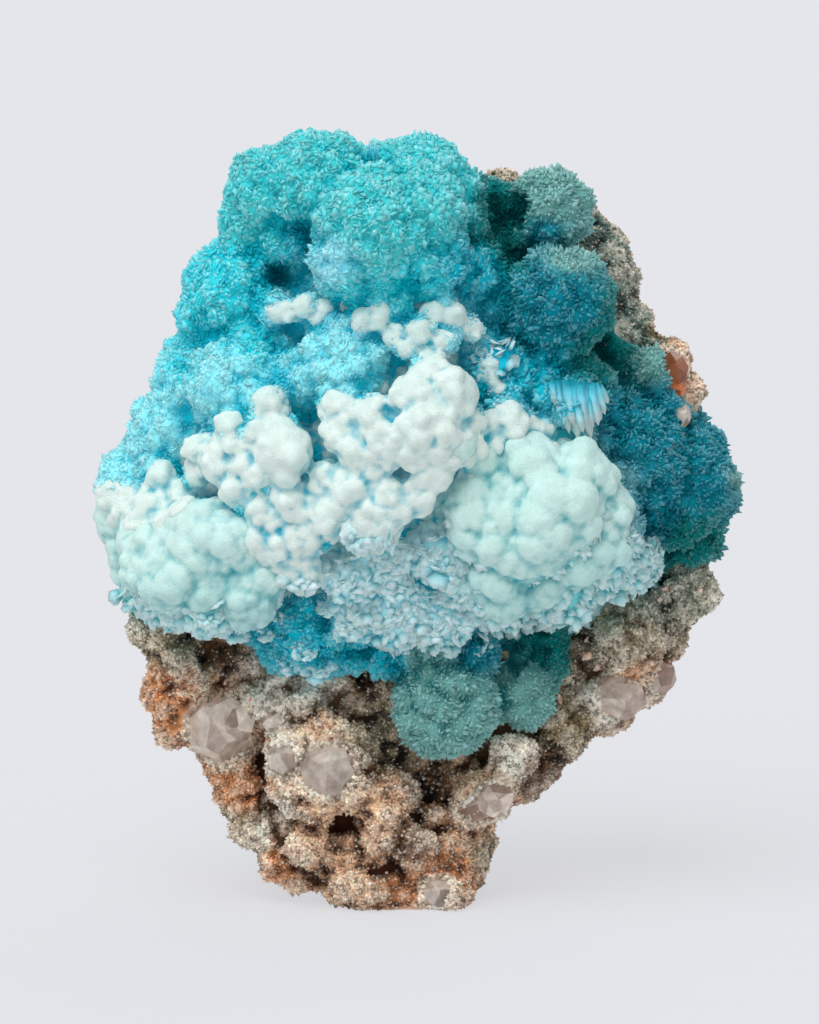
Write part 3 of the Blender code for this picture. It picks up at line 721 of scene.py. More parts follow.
def joined(parts):
    """Several arrays of points and triangles as one."""
    starts = np.cumsum([0] + [len(points) for points, _ in parts[:-1]])
    triangles = [faces + start for (_, faces), start in zip(parts, starts)]
    return np.concatenate([points for points, _ in parts]), np.concatenate(triangles)


def planted(name, shape, places, turns, scales, feet, tips, bend=1.0):
    """One mesh of the shape at every place, coloured from foot to tip."""
    mesh = mesh_from(name, *stamped(shape, places, turns, scales))
    lift = shape[2] ** bend
    tints = blended(feet[:, None, :], tips[:, None, :], lift[None])
    set_tint(mesh, tints.reshape(-1, 3))
    return new_object(name, mesh)


# Materials

HEMIMORPHITE_IOR = 1.62
QUARTZ_IOR = 1.54

# Each surface: range of roughness, depth of mottle, fineness of grain, bump, specular level, light
# scattered inside and how deep in mm, and the strength of a painted glow in its own colour
MINERALS = {
    "hemimorphite_skin": dict(
        rough=(0.5, 0.75), mottle=0.12, grain=1500, bump=0.6, specular=0.05, glow_depth=1.6, painted_glow=0.14
    ),
    "hemimorphite_blades": dict(
        rough=(0.3, 0.55), mottle=0.14, grain=1500, bump=0, specular=0.04, glow=0.3, glow_depth=0.9,
        painted_glow=0.11
    ),
    "crystal_glints": dict(rough=(0.04, 0.16), mottle=0.05, grain=1500, bump=0, specular=0.9),
    "white_mounds": dict(
        rough=(0.4, 0.75), mottle=0.06, grain=2600, bump=1.0, specular=0.25, glow=0.5, glow_depth=1.8,
        painted_glow=0.07
    ),
    "rock_skin": dict(
        rough=(0.55, 0.85), mottle=0.35, grain=1800, bump=0.8, specular=0.12, ior=QUARTZ_IOR
    ),
    "rock_grains": dict(
        rough=(0.15, 0.5), mottle=0.3, grain=1500, bump=0, specular=0.16, glow=0.15, glow_depth=0.6,
        ior=QUARTZ_IOR
    ),
}


def shader_nodes(name):
    """A new material's node tree and its main shader."""
    material = bpy.data.materials.new(name)
    material.use_nodes = True
    return material, material.node_tree, material.node_tree.nodes["Principled BSDF"]


def texture_place(tree):
    return tree.nodes.new("ShaderNodeTexCoord").outputs["Object"]


def noise_output(tree, place, scale, detail=3.0, roughness=0.55):
    texture = tree.nodes.new("ShaderNodeTexNoise")
    texture.inputs["Scale"].default_value = scale
    texture.inputs["Detail"].default_value = detail
    texture.inputs["Roughness"].default_value = roughness
    tree.links.new(place, texture.inputs["Vector"])
    return texture.outputs["Fac"]


def mapped(tree, value, low, high):
    """The value's 0.3 to 0.7 stretched over low to high."""
    node = tree.nodes.new("ShaderNodeMapRange")
    node.inputs["From Min"].default_value = 0.3
    node.inputs["From Max"].default_value = 0.7
    node.inputs["To Min"].default_value = low
    node.inputs["To Max"].default_value = high
    tree.links.new(value, node.inputs["Value"])
    return node.outputs["Result"]


def scaled_colour(tree, colour_output, factor_output):
    node = tree.nodes.new("ShaderNodeVectorMath")
    node.operation = "SCALE"
    tree.links.new(colour_output, node.inputs[0])
    tree.links.new(factor_output, node.inputs["Scale"])
    return node.outputs["Vector"]


def bump_output(tree, height, strength, distance):
    node = tree.nodes.new("ShaderNodeBump")
    node.inputs["Strength"].default_value = strength
    node.inputs["Distance"].default_value = distance
    tree.links.new(height, node.inputs["Height"])
    return node.outputs["Normal"]


def tinted_material(
    name, rough, mottle, grain, bump, specular,
    glow=0.0, glow_depth=0.0, painted_glow=0.0, ior=HEMIMORPHITE_IOR,
):
    """A mineral surface coloured by its tint, mottled and finely grained.

    The painted glow, light given off in the tint's own colour, stands in for what the see-through crust
    carries into its own creases.
    """
    material, tree, shader = shader_nodes(name)
    tint = tree.nodes.new("ShaderNodeAttribute")
    tint.attribute_name = "tint"
    place = texture_place(tree)
    mottled = mapped(tree, noise_output(tree, place, 450), 1 - mottle, 1 + mottle)
    body = scaled_colour(tree, tint.outputs["Color"], mottled)
    tree.links.new(body, shader.inputs["Base Color"])
    # Painted glow: the surface gives off light in its own tinted colour.
    if painted_glow:
        tree.links.new(body, shader.inputs["Emission Color"])
        shader.inputs["Emission Strength"].default_value = painted_glow
    fine = noise_output(tree, place, grain, detail=2)
    tree.links.new(mapped(tree, fine, *rough), shader.inputs["Roughness"])
    if bump:
        tree.links.new(bump_output(tree, fine, bump, 0.3 * MM), shader.inputs["Normal"])
    shader.inputs["IOR"].default_value = ior
    shader.inputs["Specular IOR Level"].default_value = specular
    if glow:
        shader.inputs["Subsurface Weight"].default_value = glow
        shader.inputs["Subsurface Radius"].default_value = (0.8, 1.0, 1.0)
        shader.inputs["Subsurface Scale"].default_value = glow_depth * MM
    return material


def mineral(name, **facts):
    """The mineral surface of that name, made when first asked for."""
    return bpy.data.materials.get(name) or tinted_material(name, **MINERALS[name], **facts)


def quartz_material():
    """Clear quartz with milky veils: see-through, with light scattered inside and a painted glow in its
    own colour.
    """
    material, tree, shader = shader_nodes("clear_quartz")
    tint = tree.nodes.new("ShaderNodeAttribute")
    tint.attribute_name = "tint"
    place = texture_place(tree)
    veil = noise_output(tree, place, 320, detail=5, roughness=0.65)
    cloudy = scaled_colour(tree, tint.outputs["Color"], mapped(tree, veil, 0.5, 1.15))
    tree.links.new(cloudy, shader.inputs["Base Color"])
    tree.links.new(mapped(tree, veil, 0.03, 0.16), shader.inputs["Roughness"])
    # Painted glow: the quartz gives off light in its own colour, standing in for light passing through
    # it.
    tree.links.new(cloudy, shader.inputs["Emission Color"])
    shader.inputs["Emission Strength"].default_value = 0.25
    steps = tree.nodes.new("ShaderNodeTexVoronoi")
    steps.inputs["Scale"].default_value = 420
    tree.links.new(place, steps.inputs["Vector"])
    tree.links.new(
        bump_output(tree, steps.outputs["Distance"], 0.15, 0.3 * MM), shader.inputs["Normal"]
    )
    shader.inputs["IOR"].default_value = QUARTZ_IOR
    shader.inputs["Transmission Weight"].default_value = 0.5
    shader.inputs["Subsurface Weight"].default_value = 0.5
    shader.inputs["Subsurface Radius"].default_value = (1.0, 0.85, 0.75)
    shader.inputs["Subsurface Scale"].default_value = 2.5 * MM
    return material


def floor_material():
    material, tree, shader = shader_nodes("studio_floor")
    colours = bpy.context.scene.specimen_colours
    shader.inputs["Base Color"].default_value = (*colours.floor, 1)
    place = texture_place(tree)
    fine = noise_output(tree, place, 40)
    tree.links.new(mapped(tree, fine, 0.75, 0.85), shader.inputs["Roughness"])
    shader.inputs["Specular IOR Level"].default_value = 0.1
    shader.inputs["Emission Color"].default_value = (*linear(232, 233, 237), 1)
    shader.inputs["Emission Strength"].default_value = 0.72
    return material


def finish_piece(thing, material, slot, *nodes):
    """Gives a piece its material, hangs it on the body and hides the frame's solids that it stands for.
    """
    thing.data.materials.clear()
    thing.data.materials.append(material)
    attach(thing, BODY)
    if nodes:
        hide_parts(*nodes)
    return thing


# Skins


def evened(thing, cell, smoothing):
    """Remeshes a closed shape in even cells, smooths it and applies both."""
    remesh = thing.modifiers.new("even", "REMESH")
    remesh.mode = "VOXEL"
    remesh.voxel_size = cell
    smooth = thing.modifiers.new("soft", "SMOOTH")
    smooth.iterations = smoothing
    thing.data = baked(thing)
    thing.modifiers.clear()
    return thing


def merged_copy(node):
    """A bmesh of one of the frame's solids, with its loose triangles joined."""
    bm = bmesh.new()
    bm.from_mesh(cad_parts[node].data)
    bmesh.ops.remove_doubles(bm, verts=bm.verts, dist=0.001 * MM)
    return bm


def object_from(bm, name):
    """Makes the bmesh an object of its own."""
    mesh = bpy.data.meshes.new(name)
    bm.to_mesh(mesh)
    bm.free()
    return new_object(name, mesh)


def fine_skin(name, node, cell, smoothing):
    """A closed, even skin round a solid of the frame."""
    return evened(object_from(merged_copy(node), name), cell, smoothing)


def lumps(points, layers, seed):
    """Layers of round lumps, each with its height and size in mm, added up in mm."""
    return sum(
        height * domes(points, size * MM, seed + i) for i, (height, size) in enumerate(layers)
    )


def moved(mesh, surface, heights):
    """Pushes the surface out along its normals and keeps the arrays in step."""
    surface.points = surface.points + surface.normals * heights[:, None]
    mesh.vertices.foreach_set("co", surface.points.astype(np.float32).ravel())
    mesh.update()
    surface.normals = read(mesh.vertices, "normal")


class SPECIMEN_OT_rock(bpy.types.Operator):
    """Model the rock's fine skin over its solid, with lumps, hollows and stain"""

    bl_idname = "specimen.rock"
    bl_label = "Rock"

    def execute(self, context):
        sizes = settings()
        skin = fine_skin("rock_skin", "quartz_matrix", sizes.skin_cell, 4)
        surface = Surface(skin.data)
        near = near_quartz(surface.points, SKIN_COLLAR * MM)
        rough = lumps(surface.points, ROCK_LUMPS, 1)
        rough = rough * (1 - 0.8 * near) + 0.5 * near + 0.35 * relief(surface.points, 2.2 * MM, 3)
        standing = np.clip(surface.points[:, 2] / MM - 0.4, 0, 1)
        moved(skin.data, surface, standing * rough * MM)
        hollow = surface.hollowness(12, 0.7 * MM) + surface.hollowness(60, 2.2 * MM)
        tints = rock_tints(surface, hollow)
        # Painted light: the rock round the quartz is painted pale, so that what shows through and round
        # the clear crystals looks lit.
        tints = blended(tints, finish_colours(("cream",)), 1.2 * near - 0.2)
        set_tint(skin.data, tints)
        set_number(skin.data, "hollow", hollow)
        skin.data.shade_smooth()
        finish_piece(skin, mineral("rock_skin"), "rock", "quartz_matrix")
        return {"FINISHED"}


def near_quartz(points, reach):
    """1 at the clear crystals, falling to 0 at the given distance."""
    near = np.zeros(len(points))
    for node in quartz_nodes():
        low, high = (np.array(corner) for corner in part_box(node))
        close = np.flatnonzero(np.all((points > low - reach) & (points < high + reach), axis=1))
        tree = tree_of(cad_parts[node])
        gaps = np.array([tree.find_nearest(points[i])[3] for i in close])
        near[close] = np.maximum(near[close], 1 - np.clip(gaps / reach, 0, 1))
    return near


def rock_tints(surface, hollow):
    """The rock's colour: zones listed in front, and drifting stains behind."""
    shares = zone_shares(surface.points, ROCK_ZONES)
    face, dark = zone_tints(shares, ROCK_ZONES)
    stain = relief(surface.points, 22 * MM, 5, octaves=3)
    steps = np.clip((stain + 0.7) / 1.4, 0, 0.999) * (len(BACK_FINISHES) - 1)
    low = steps.astype(int)
    back, back_dark = finish_colours(BACK_FINISHES), finish_colours(BACK_FINISHES, "_hollow")
    behind = np.clip((surface.points[:, 1] - 4 * MM) / (8 * MM), 0, 1)
    behind *= np.clip(1 - 3 * facing(surface.normals), 0, 1)
    face = blended(face, blended(back[low], back[low + 1], steps - low), behind)
    dark = blended(dark, blended(back_dark[low], back_dark[low + 1], steps - low), behind)
    speckle = relief(surface.points, 2.2 * MM, 9)
    drift = relief(surface.points, 7 * MM, 19)[:, None]
    face = face * (1 + 0.35 * drift)
    # Painted shade: the rock darkens in its hollows and along its lowest edge by the floor. Crests turn
    # cream, partly pale druse and partly a painted highlight; the speckle is the rock's own uneven
    # tone.
    foot = np.clip(1.8 - surface.points[:, 2] / MM, 0, 1)
    face = blended(face, finish_colours(("cream",)), np.clip(-0.55 * hollow - 0.1, 0, 0.5))
    return blended(face, dark, hollow * 1.1 + 0.14 + 0.3 * speckle + foot)


class SPECIMEN_OT_rock_druse(bpy.types.Operator):
    """Plant sugary quartz grains over the rock's lumps"""

    bl_idname = "specimen.rock_druse"
    bl_label = "Rock druse"

    def execute(self, context):
        sizes = settings()
        skin = bpy.data.objects["rock_skin"]
        surface = Surface(skin.data)
        hollow = stored(skin.data, "hollow")
        tint = read(skin.data.color_attributes["tint"].data, "color", 4)[:, :3]
        crust = tree_of(bpy.data.objects["crust_skin"])
        regions = (
            ("rock_druse_front", sizes.grain_spacing, 1, 0.9),
            ("rock_druse_back", sizes.back_spacing, -1, 1.15),
        )
        for step, (name, spacing, side, size) in enumerate(regions):
            rng = scatter(20 + step)
            where = surface.sampled(rng, spacing)
            places = surface.at(surface.points, where)
            sunk = surface.at(hollow, where)
            front = facing(unit(surface.at(surface.normals, where))) > FRONT_FACING
            keep = (front == (side > 0)) & (places[:, 2] > 0.4 * MM) & (sunk < 1.0)
            keep[keep] = outside(crust, places[keep], GRAIN_CLEARANCE * MM)
            where = (where[0][keep], where[1][keep])
            places = places[keep]
            normals = unit(surface.at(surface.normals, where))
            count = len(places)
            crowd = 1 + 0.7 * near_quartz(places, GRAIN_COLLAR * MM)
            lean = normals + 0.3 * rng.normal(size=(count, 3))
            wide = sizes.grain_size * size * crowd[:, None] * rng.uniform(0.6, 1.2, (count, 2))
            long = wide.mean(axis=1) * rng.uniform(0.5, 0.95, count)
            # Each grain has its own random tone. Feet are painted darker, as shade among the grains;
            # some tips turn pale, partly clear quartz and partly a painted sparkle.
            body = surface.at(tint, where) * rng.uniform(0.3, 1.6, (count, 1))
            clear = (rng.random(count) ** 4)[:, None] * 0.95
            tips = body * (1 - clear) + clear * np.array((1, 0.88, 0.72))
            druse = planted(
                name,
                grain_template(),
                places - normals * (0.3 * long)[:, None],
                turned_to(lean, rng.uniform(0, math.tau, count)),
                np.concatenate([wide, long[:, None]], axis=1),
                body * 0.75,
                tips,
            )
            finish_piece(druse, mineral("rock_grains"), "rock")
        return {"FINISHED"}


class SPECIMEN_OT_crust(bpy.types.Operator):
    """Model the grown crust's fine skin over its solid, with its blues and whites"""

    bl_idname = "specimen.crust"
    bl_label = "Crust"

    def execute(self, context):
        sizes = settings()
        skin = fine_skin("crust_skin", "hemimorphite_crust", sizes.skin_cell, 6)
        surface = Surface(skin.data)
        shares = zone_shares(surface.points, CRUST_ZONES)
        bladed = shares @ [GROWTH[zone[3]][0] == BLADES for zone in CRUST_ZONES]
        rough = lumps(surface.points, CRUST_LUMPS, 11)
        moved(skin.data, surface, (0.25 + 0.75 * bladed) * rough * MM)
        hollow = surface.hollowness(10, 0.5 * MM) + surface.hollowness(60, 2.2 * MM)
        tree = BVHTree.FromPolygons(surface.points.tolist(), surface.triangles.tolist())
        # Places closed in by the crust's own folds count as hollow too, for the painted shade.
        hollow += 1.4 * (0.85 - surface.openness(tree, 14 * MM))
        face, dark = zone_tints(shares, CRUST_ZONES)
        drift = relief(surface.points, 6 * MM, 13)
        # Painted shade: creases and closed-in places take the crease colour; the drift is the crust's
        # own uneven tone.
        set_tint(skin.data, blended(face, dark, 0.3 + 0.7 * hollow + 0.2 * drift))
        set_number(skin.data, "hollow", hollow)
        skin.data.shade_smooth()
        material = mineral("hemimorphite_skin", glow=sizes.crust_glow)
        finish_piece(skin, material, "crust", "hemimorphite_crust")
        return {"FINISHED"}


class CrustCover:
    """Places on the crust where the given kinds of cover grow, with their finish."""

    def __init__(self, rng, spacing, covers):
        skin = bpy.data.objects["crust_skin"]
        surface = Surface(skin.data)
        where = surface.sampled(rng, spacing)
        places = surface.at(surface.points, where)
        kinds = np.array([GROWTH[zone[3]][0] for zone in CRUST_ZONES])
        shares = zone_shares(places, CRUST_ZONES)
        best = kinds[np.argmax(shares, axis=1)]
        rock = tree_of(bpy.data.objects["rock_skin"])
        keep = np.isin(best, covers)
        keep[keep] = outside(rock, places[keep], BLADE_CLEARANCE * MM)
        where = (where[0][keep], where[1][keep])
        self.places = places[keep]
        self.shares = shares[keep]
        self.normals = unit(surface.at(surface.normals, where))
        self.hollow = surface.at(stored(skin.data, "hollow"), where)
        self.face, self.dark = zone_tints(self.shares, CRUST_ZONES)

    def chosen(self, keep):
        """Keeps only these places."""
        for name in ("places", "shares", "normals", "hollow", "face", "dark"):
            setattr(self, name, getattr(self, name)[keep])
        return self


def sight(tree, across, up):
    """Where a line of sight first meets the surface, and the surface's normal there."""
    view = Vector((0, math.cos(VIEW_TILT), -math.sin(VIEW_TILT)))
    near = -200 * MM
    height = ((up - SEEN_RISE) * MM - near * math.sin(VIEW_TILT)) / math.cos(VIEW_TILT)
    place, normal = tree.ray_cast(Vector((across * MM, near, height)), view)[:2]
    if place is None:
        raise RuntimeError(f"nothing is seen at {across}, {up}")
    return place, (0.65 * normal - 0.35 * view).normalized()


def grown_on(tree, spots, size, squash, sink, lift=0.0):
    """Places, turns and sizes of round growths at seen spots."""
    found = [sight(tree, across, up) for across, up, _ in spots]
    radii = np.array([spot[2] for spot in spots]) * size * MM
    normals = np.array([normal for _, normal in found]) + np.array((0, 0, lift))
    places = np.array([place for place, _ in found]) - unit(normals) * (sink * radii)[:, None]
    scales = radii[:, None] * np.array((1, 1, squash))
    return places, turned_to(normals, np.zeros(len(spots))), scales


def filled(rng, cover, radius, squash, sink, lift=0.0):
    """Round growths strewn over one kind of cover, none nearer than about its own width."""
    ground = CrustCover(rng, radius * 0.5, (cover,))
    count = len(ground.places)
    radii = radius * rng.uniform(0.6, 1.25, count)
    order = rng.permutation(count)
    kept = order[spaced(ground.places[order], radii[order] * 1.1)]
    ground.chosen(kept)
    radii = radii[kept]
    lean = ground.normals + (0, 0, lift) + 0.2 * rng.normal(size=(len(kept), 3))
    places = ground.places - ground.normals * (sink * radii)[:, None]
    turns = turned_to(lean, rng.uniform(0, math.tau, len(kept)))
    return places, turns, radii[:, None] * np.array((1, 1, squash))


def budded(rng, growths, buds, share, spread):
    """Smaller growths round the flanks of growths: so many each, each a share of its size."""
    places, turns, scales = growths
    count = len(places) * buds
    turn = rng.uniform(0, math.tau, count)
    steep = rng.uniform(0.1, 1.0, count)
    local = np.stack([np.cos(turn) * steep, np.sin(turn) * steep, np.sqrt(1 - steep**2)], axis=1)
    parent = np.repeat(np.arange(len(places)), buds)
    out = np.einsum("nij,nj->ni", turns[parent], local * scales[parent] * spread)
    sizes = scales[parent][:, :1] * share * rng.uniform(0.6, 1.3, (count, 1))
    return places[parent] + out, turns[parent], np.repeat(sizes, 3, axis=1)


def rosettes(rng, growths, petals, size, lift):
    """Plates fanned round the middle of growths, upright within and flat at the rim."""
    places, turns, scales = growths
    parent = np.repeat(np.arange(len(places)), petals)
    count = len(parent)
    angle, reach = rng.uniform(0, math.tau, count), np.sqrt(rng.uniform(0.02, 1, count))
    across, along, up = turns[parent].transpose(2, 0, 1)
    out = np.cos(angle)[:, None] * across + np.sin(angle)[:, None] * along
    point = unit(out + (lift * (1.3 - reach))[:, None] * up + 0.2 * rng.normal(size=(count, 3)))
    radius = scales[parent, 0]
    return places[parent] + out * (0.75 * radius * reach)[:, None], point, up, radius * size


def plate_turns(rng, point, face, jitter):
    """Turns for plates that stand along the point direction and show their face."""
    face = face + jitter * rng.normal(size=face.shape)
    face = unit(face - point * np.einsum("ij,ij->i", face, point)[:, None])
    return np.stack([np.cross(face, point), face, point], axis=2)


class SPECIMEN_OT_mounds(bpy.types.Operator):
    """Grow the white mounds: knobs and broad lobes, fused in one, and the plates below them"""

    bl_idname = "specimen.mounds"
    bl_label = "White mounds"

    def execute(self, context):
        rng = scatter(40)
        tree = tree_of(bpy.data.objects["crust_skin"])
        knobs = grown_on(tree, MOUND_KNOBS, 1.25, 0.9, 0.6)
        lobes = grown_on(tree, MOUND_LOBES, 1.38, 0.7, 0.5)
        shelves = grown_on(tree, MOUND_SHELVES, 1.1, 0.34, 0.1, 0.5)
        radius = settings().filler_radius
        small, low = filled(rng, KNOBS, radius, 0.9, 0.4), filled(rng, LOBES, radius * 1.4, 0.7, 0.5)
        white = self.fuse(
            "white_knobs",
            [(3, knobs), (2, small), (2, budded(rng, knobs, KNOB_BUDS, BUD_SHARE, 0.8))],
        )
        mint = self.fuse(
            "mint_lobes",
            [(4, lobes), (3, low), (3, budded(rng, lobes, LOBE_BUDS, BUD_SHARE, 0.7))],
        )
        self.tint(((white, "knob"), (mint, "lobe")))
        thin = filled(rng, FLAKES, radius * 1.3, 0.36, 0.0, 0.5)
        self.plant_petals(rng, shelves, thin, lobes)
        return {"FINISHED"}

    def fuse(self, name, growths):
        points, triangles = joined(
            [stamped(ball_template(divisions), *facts) for divisions, facts in growths]
        )
        points = points + vector_relief(points, 3 * MM, 45) * 0.3 * MM
        mound = new_object(name, mesh_from(name, points, triangles))
        evened(mound, settings().mound_cell, 1)
        surface = Surface(mound.data)
        rough = 0.2 * domes(surface.points, 2.6 * MM, 47) + 0.1 * relief(surface.points, 1.1 * MM, 46)
        moved(mound.data, surface, rough * MM)
        mound.data.shade_smooth()
        finish_piece(mound, mineral("white_mounds"), "crust")
        return mound

    def tint(self, mounds):
        """Colours the mounds with painted shade: white where open, and bluer in creases, where
        neighbours close them in, on faces turned down and lower down.
        """
        surfaces = [Surface(mound.data) for mound, _ in mounds]
        shapes = surfaces + [Surface(bpy.data.objects["crust_skin"].data)]
        every, triangles = joined([(shape.points, shape.triangles) for shape in shapes])
        tree = BVHTree.FromPolygons(every.tolist(), triangles.tolist())
        for surface, (mound, finish), close in zip(surfaces, mounds, (1.4, 0.9)):
            # Painted shade, from creases, closed-in places, faces turned down and height.
            painted_shading = 0.5 * surface.hollowness(6, 0.16 * MM) + 0.4 * surface.hollowness(50, 1.0 * MM)
            painted_shading += close * (0.72 - surface.openness(tree, 12 * MM))
            painted_shading += 0.25 * np.clip(-surface.normals @ (-0.25, 0.1, 0.95), -0.2, 1)
            painted_shading += np.clip(0.018 * (80 - seen(surface.points)[1]), -0.1, 0.45)
            below, below_dark = zone_tints(zone_shares(surface.points, CRUST_ZONES), CRUST_ZONES)
            face, dark = finish_colours((finish, finish + "_hollow"))
            face, dark = blended(face, below, np.array(0.2)), blended(dark, below_dark, np.array(0.4))
            set_tint(mound.data, blended(face, dark, 0.13 + 0.7 * painted_shading))

    def plant_petals(self, rng, shelves, thin, lobes):
        """Toothed plates: rosettes below the mounds, and a fringe on the lobes' lower rims."""
        groups = [
            rosettes(rng, shelves, SHELF_PETALS, 0.68, 0.8),
            rosettes(rng, thin, SMALL_PETALS, 1.0, 0.7),
        ]
        at, point, face, long = rosettes(rng, lobes, RIM_PETALS, 0.3, 0.25)
        middles = lobes[0].repeat(RIM_PETALS, axis=0)
        rim = unit(at - middles)
        low = point[:, 2] < 0
        at = (middles + rim * (0.9 * long / 0.3)[:, None])[low]
        groups.append((at, unit(point + rim)[low], face[low], long[low] * 1.1))
        at, point, face, long = (np.concatenate(kind) for kind in zip(*groups))
        count = len(at)
        long = long * rng.uniform(0.7, 1.25, count)
        wide = long * rng.uniform(0.8, 1.5, count)
        zone, _ = zone_tints(zone_shares(at, CRUST_ZONES), CRUST_ZONES)
        bright, dark = finish_colours(("shelf", "shelf_hollow"))
        # Painted shade at the petals' feet; their tips take the shelves' white, with a random share of
        # the feet's colour.
        feet = blended(zone, dark[None], np.full(count, 0.5))
        pale = blended(zone, bright[None], np.full(count, 0.85))
        tips = blended(pale, feet, rng.uniform(0, 0.3, count))
        petals = planted(
            "ice_petals",
            petal_template(),
            at - point * (0.3 * long)[:, None],
            plate_turns(rng, point, face, 0.25),
            np.stack([wide, long, long], axis=1),
            feet,
            tips,
            bend=0.9,
        )
        finish_piece(petals, mineral("hemimorphite_blades"), "crust")


class SPECIMEN_OT_blades(bpy.types.Operator):
    """Plant small hemimorphite blades over the blue lobes"""

    bl_idname = "specimen.blades"
    bl_label = "Blue blades"

    def execute(self, context):
        sizes = settings()
        rng = scatter(60)
        ground = CrustCover(rng, sizes.blade_spacing, (BLADES,))
        high = seen(ground.places)[1] > UPPER_FROM
        left = ground.places[:, 0] < 0
        regions = (
            ("upper_blades", high),
            ("lower_left_blades", ~high & left),
            ("lower_right_blades", ~high & ~left),
        )
        for name, inside in regions:
            self.plant(name, ground, np.flatnonzero(inside), rng, sizes)
        few = rng.random(len(high)) < GLINT_SHARE
        self.plant("blade_glints", ground, np.flatnonzero(few), rng, sizes, "crystal_glints", 1.25)
        return {"FINISHED"}

    def plant(self, name, ground, chosen, rng, sizes, surface="hemimorphite_blades", size=1.0):
        places, normals = ground.places[chosen], ground.normals[chosen]
        face, dark, hollow = ground.face[chosen], ground.dark[chosen], ground.hollow[chosen]
        count = len(chosen)
        sheaf = vector_relief(places, 2.8 * MM, 61)
        slender = ground.shares[chosen] @ [zone[3] in SLENDER for zone in CRUST_ZONES]
        upright = (0.8 + 0.9 * slender)[:, None] * normals
        lean = unit(upright + 1.5 * sheaf + 0.35 * rng.normal(size=(count, 3)))
        turns = plate_turns(rng, lean, normals, 0.35)
        usual = ground.shares[chosen] @ [GROWTH[zone[3]][1] for zone in CRUST_ZONES]
        big = 1 + 0.6 * (rng.random(count) < 0.15)
        long = size * sizes.blade_length * usual * rng.uniform(0.75, 1.25, count) * big
        wide = sizes.blade_length * rng.uniform(0.7, 1.3, count) * big * (1 - 0.35 * slender)
        # Painted shade: the blades' feet, and whole blades in hollows, take the crease colour.
        feet = blended(face, dark, np.clip(0.4 + 0.8 * hollow, 0, 1))
        # Painted highlight: some tips turn pale, less so in hollows; the random factor after it is each
        # blade's own tone.
        tip_highlight = np.clip(rng.uniform(-0.1, 0.6, count) - 0.5 * hollow, 0, 0.8)
        pale = blended(face, np.array((0.6, 0.9, 0.92))[None], np.clip(0.9 * face[:, 1], 0, 0.5))
        tips = blended(face, pale, tip_highlight) * rng.uniform(0.85, 1.15, (count, 1))
        tips = blended(tips, dark, np.clip(0.6 * hollow, 0, 0.85))
        blades = planted(
            name,
            blade_template(),
            places - lean * (0.35 * long)[:, None],
            turns,
            np.stack([wide, long, long], axis=1),
            feet,
            tips,
            bend=1.1,
        )
        finish_piece(blades, mineral(surface), "crust")


class SPECIMEN_OT_leaf(bpy.types.Operator):
    """Model the leaf of side-by-side blades with white tips, and the needles on top"""

    bl_idname = "specimen.leaf"
    bl_label = "Leaf and needles"

    def execute(self, context):
        tree = tree_of(bpy.data.objects["crust_skin"])
        rng = scatter(80)
        places, turns, scales = [], [], []
        for across, up, turn, long, wide in LEAF_BLADES + NEEDLES:
            place, _ = sight(tree, across, up)
            turn = math.radians(turn + rng.uniform(-3, 3))
            point = seen_direction(math.sin(turn), -math.cos(turn), 0.26 + rng.uniform(0, 0.12))
            side = seen_direction(math.cos(turn), math.sin(turn), rng.uniform(-0.35, 0.35))
            side -= point * side.dot(point)
            front = point.cross(side)
            turns.append(Matrix((side.normalized(), front.normalized(), point)).transposed())
            places.append(place + seen_direction(0, 0, 0.8 * MM))
            scales.append((wide * MM, wide * 1.6 * MM, long * MM))
        count = len(places)
        leaf, white = finish_colours(("leaf", "knob"))
        leafy = np.arange(count) < len(LEAF_BLADES)
        feet = np.repeat(leaf[None], count, 0)
        tips = np.where(leafy[:, None], white, 0.5 * (white + leaf))
        blades = planted(
            "leaf_blades", needle_template(), np.array(places), np.array(turns), np.array(scales),
            feet, tips, bend=1.6,
        )
        finish_piece(blades, mineral("hemimorphite_blades"), "crust")
        return {"FINISHED"}


def quartz_nodes():
    return sorted(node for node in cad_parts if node.startswith("quartz_crystal"))


def facet_shades(mesh, rng):
    """A painted brightness for each point, the same over each facet of a cut crystal, standing for the
    light and refractions it shows.
    """
    shades = np.ones(len(mesh.vertices))
    directions = {}
    for face in sorted(mesh.polygons, key=lambda face: face.area):
        key = tuple(round(c, 1) for c in face.normal)
        shade = directions.setdefault(key, rng.uniform(0.42, 1.0))
        for i in face.vertices:
            shades[i] = shade
    return shades


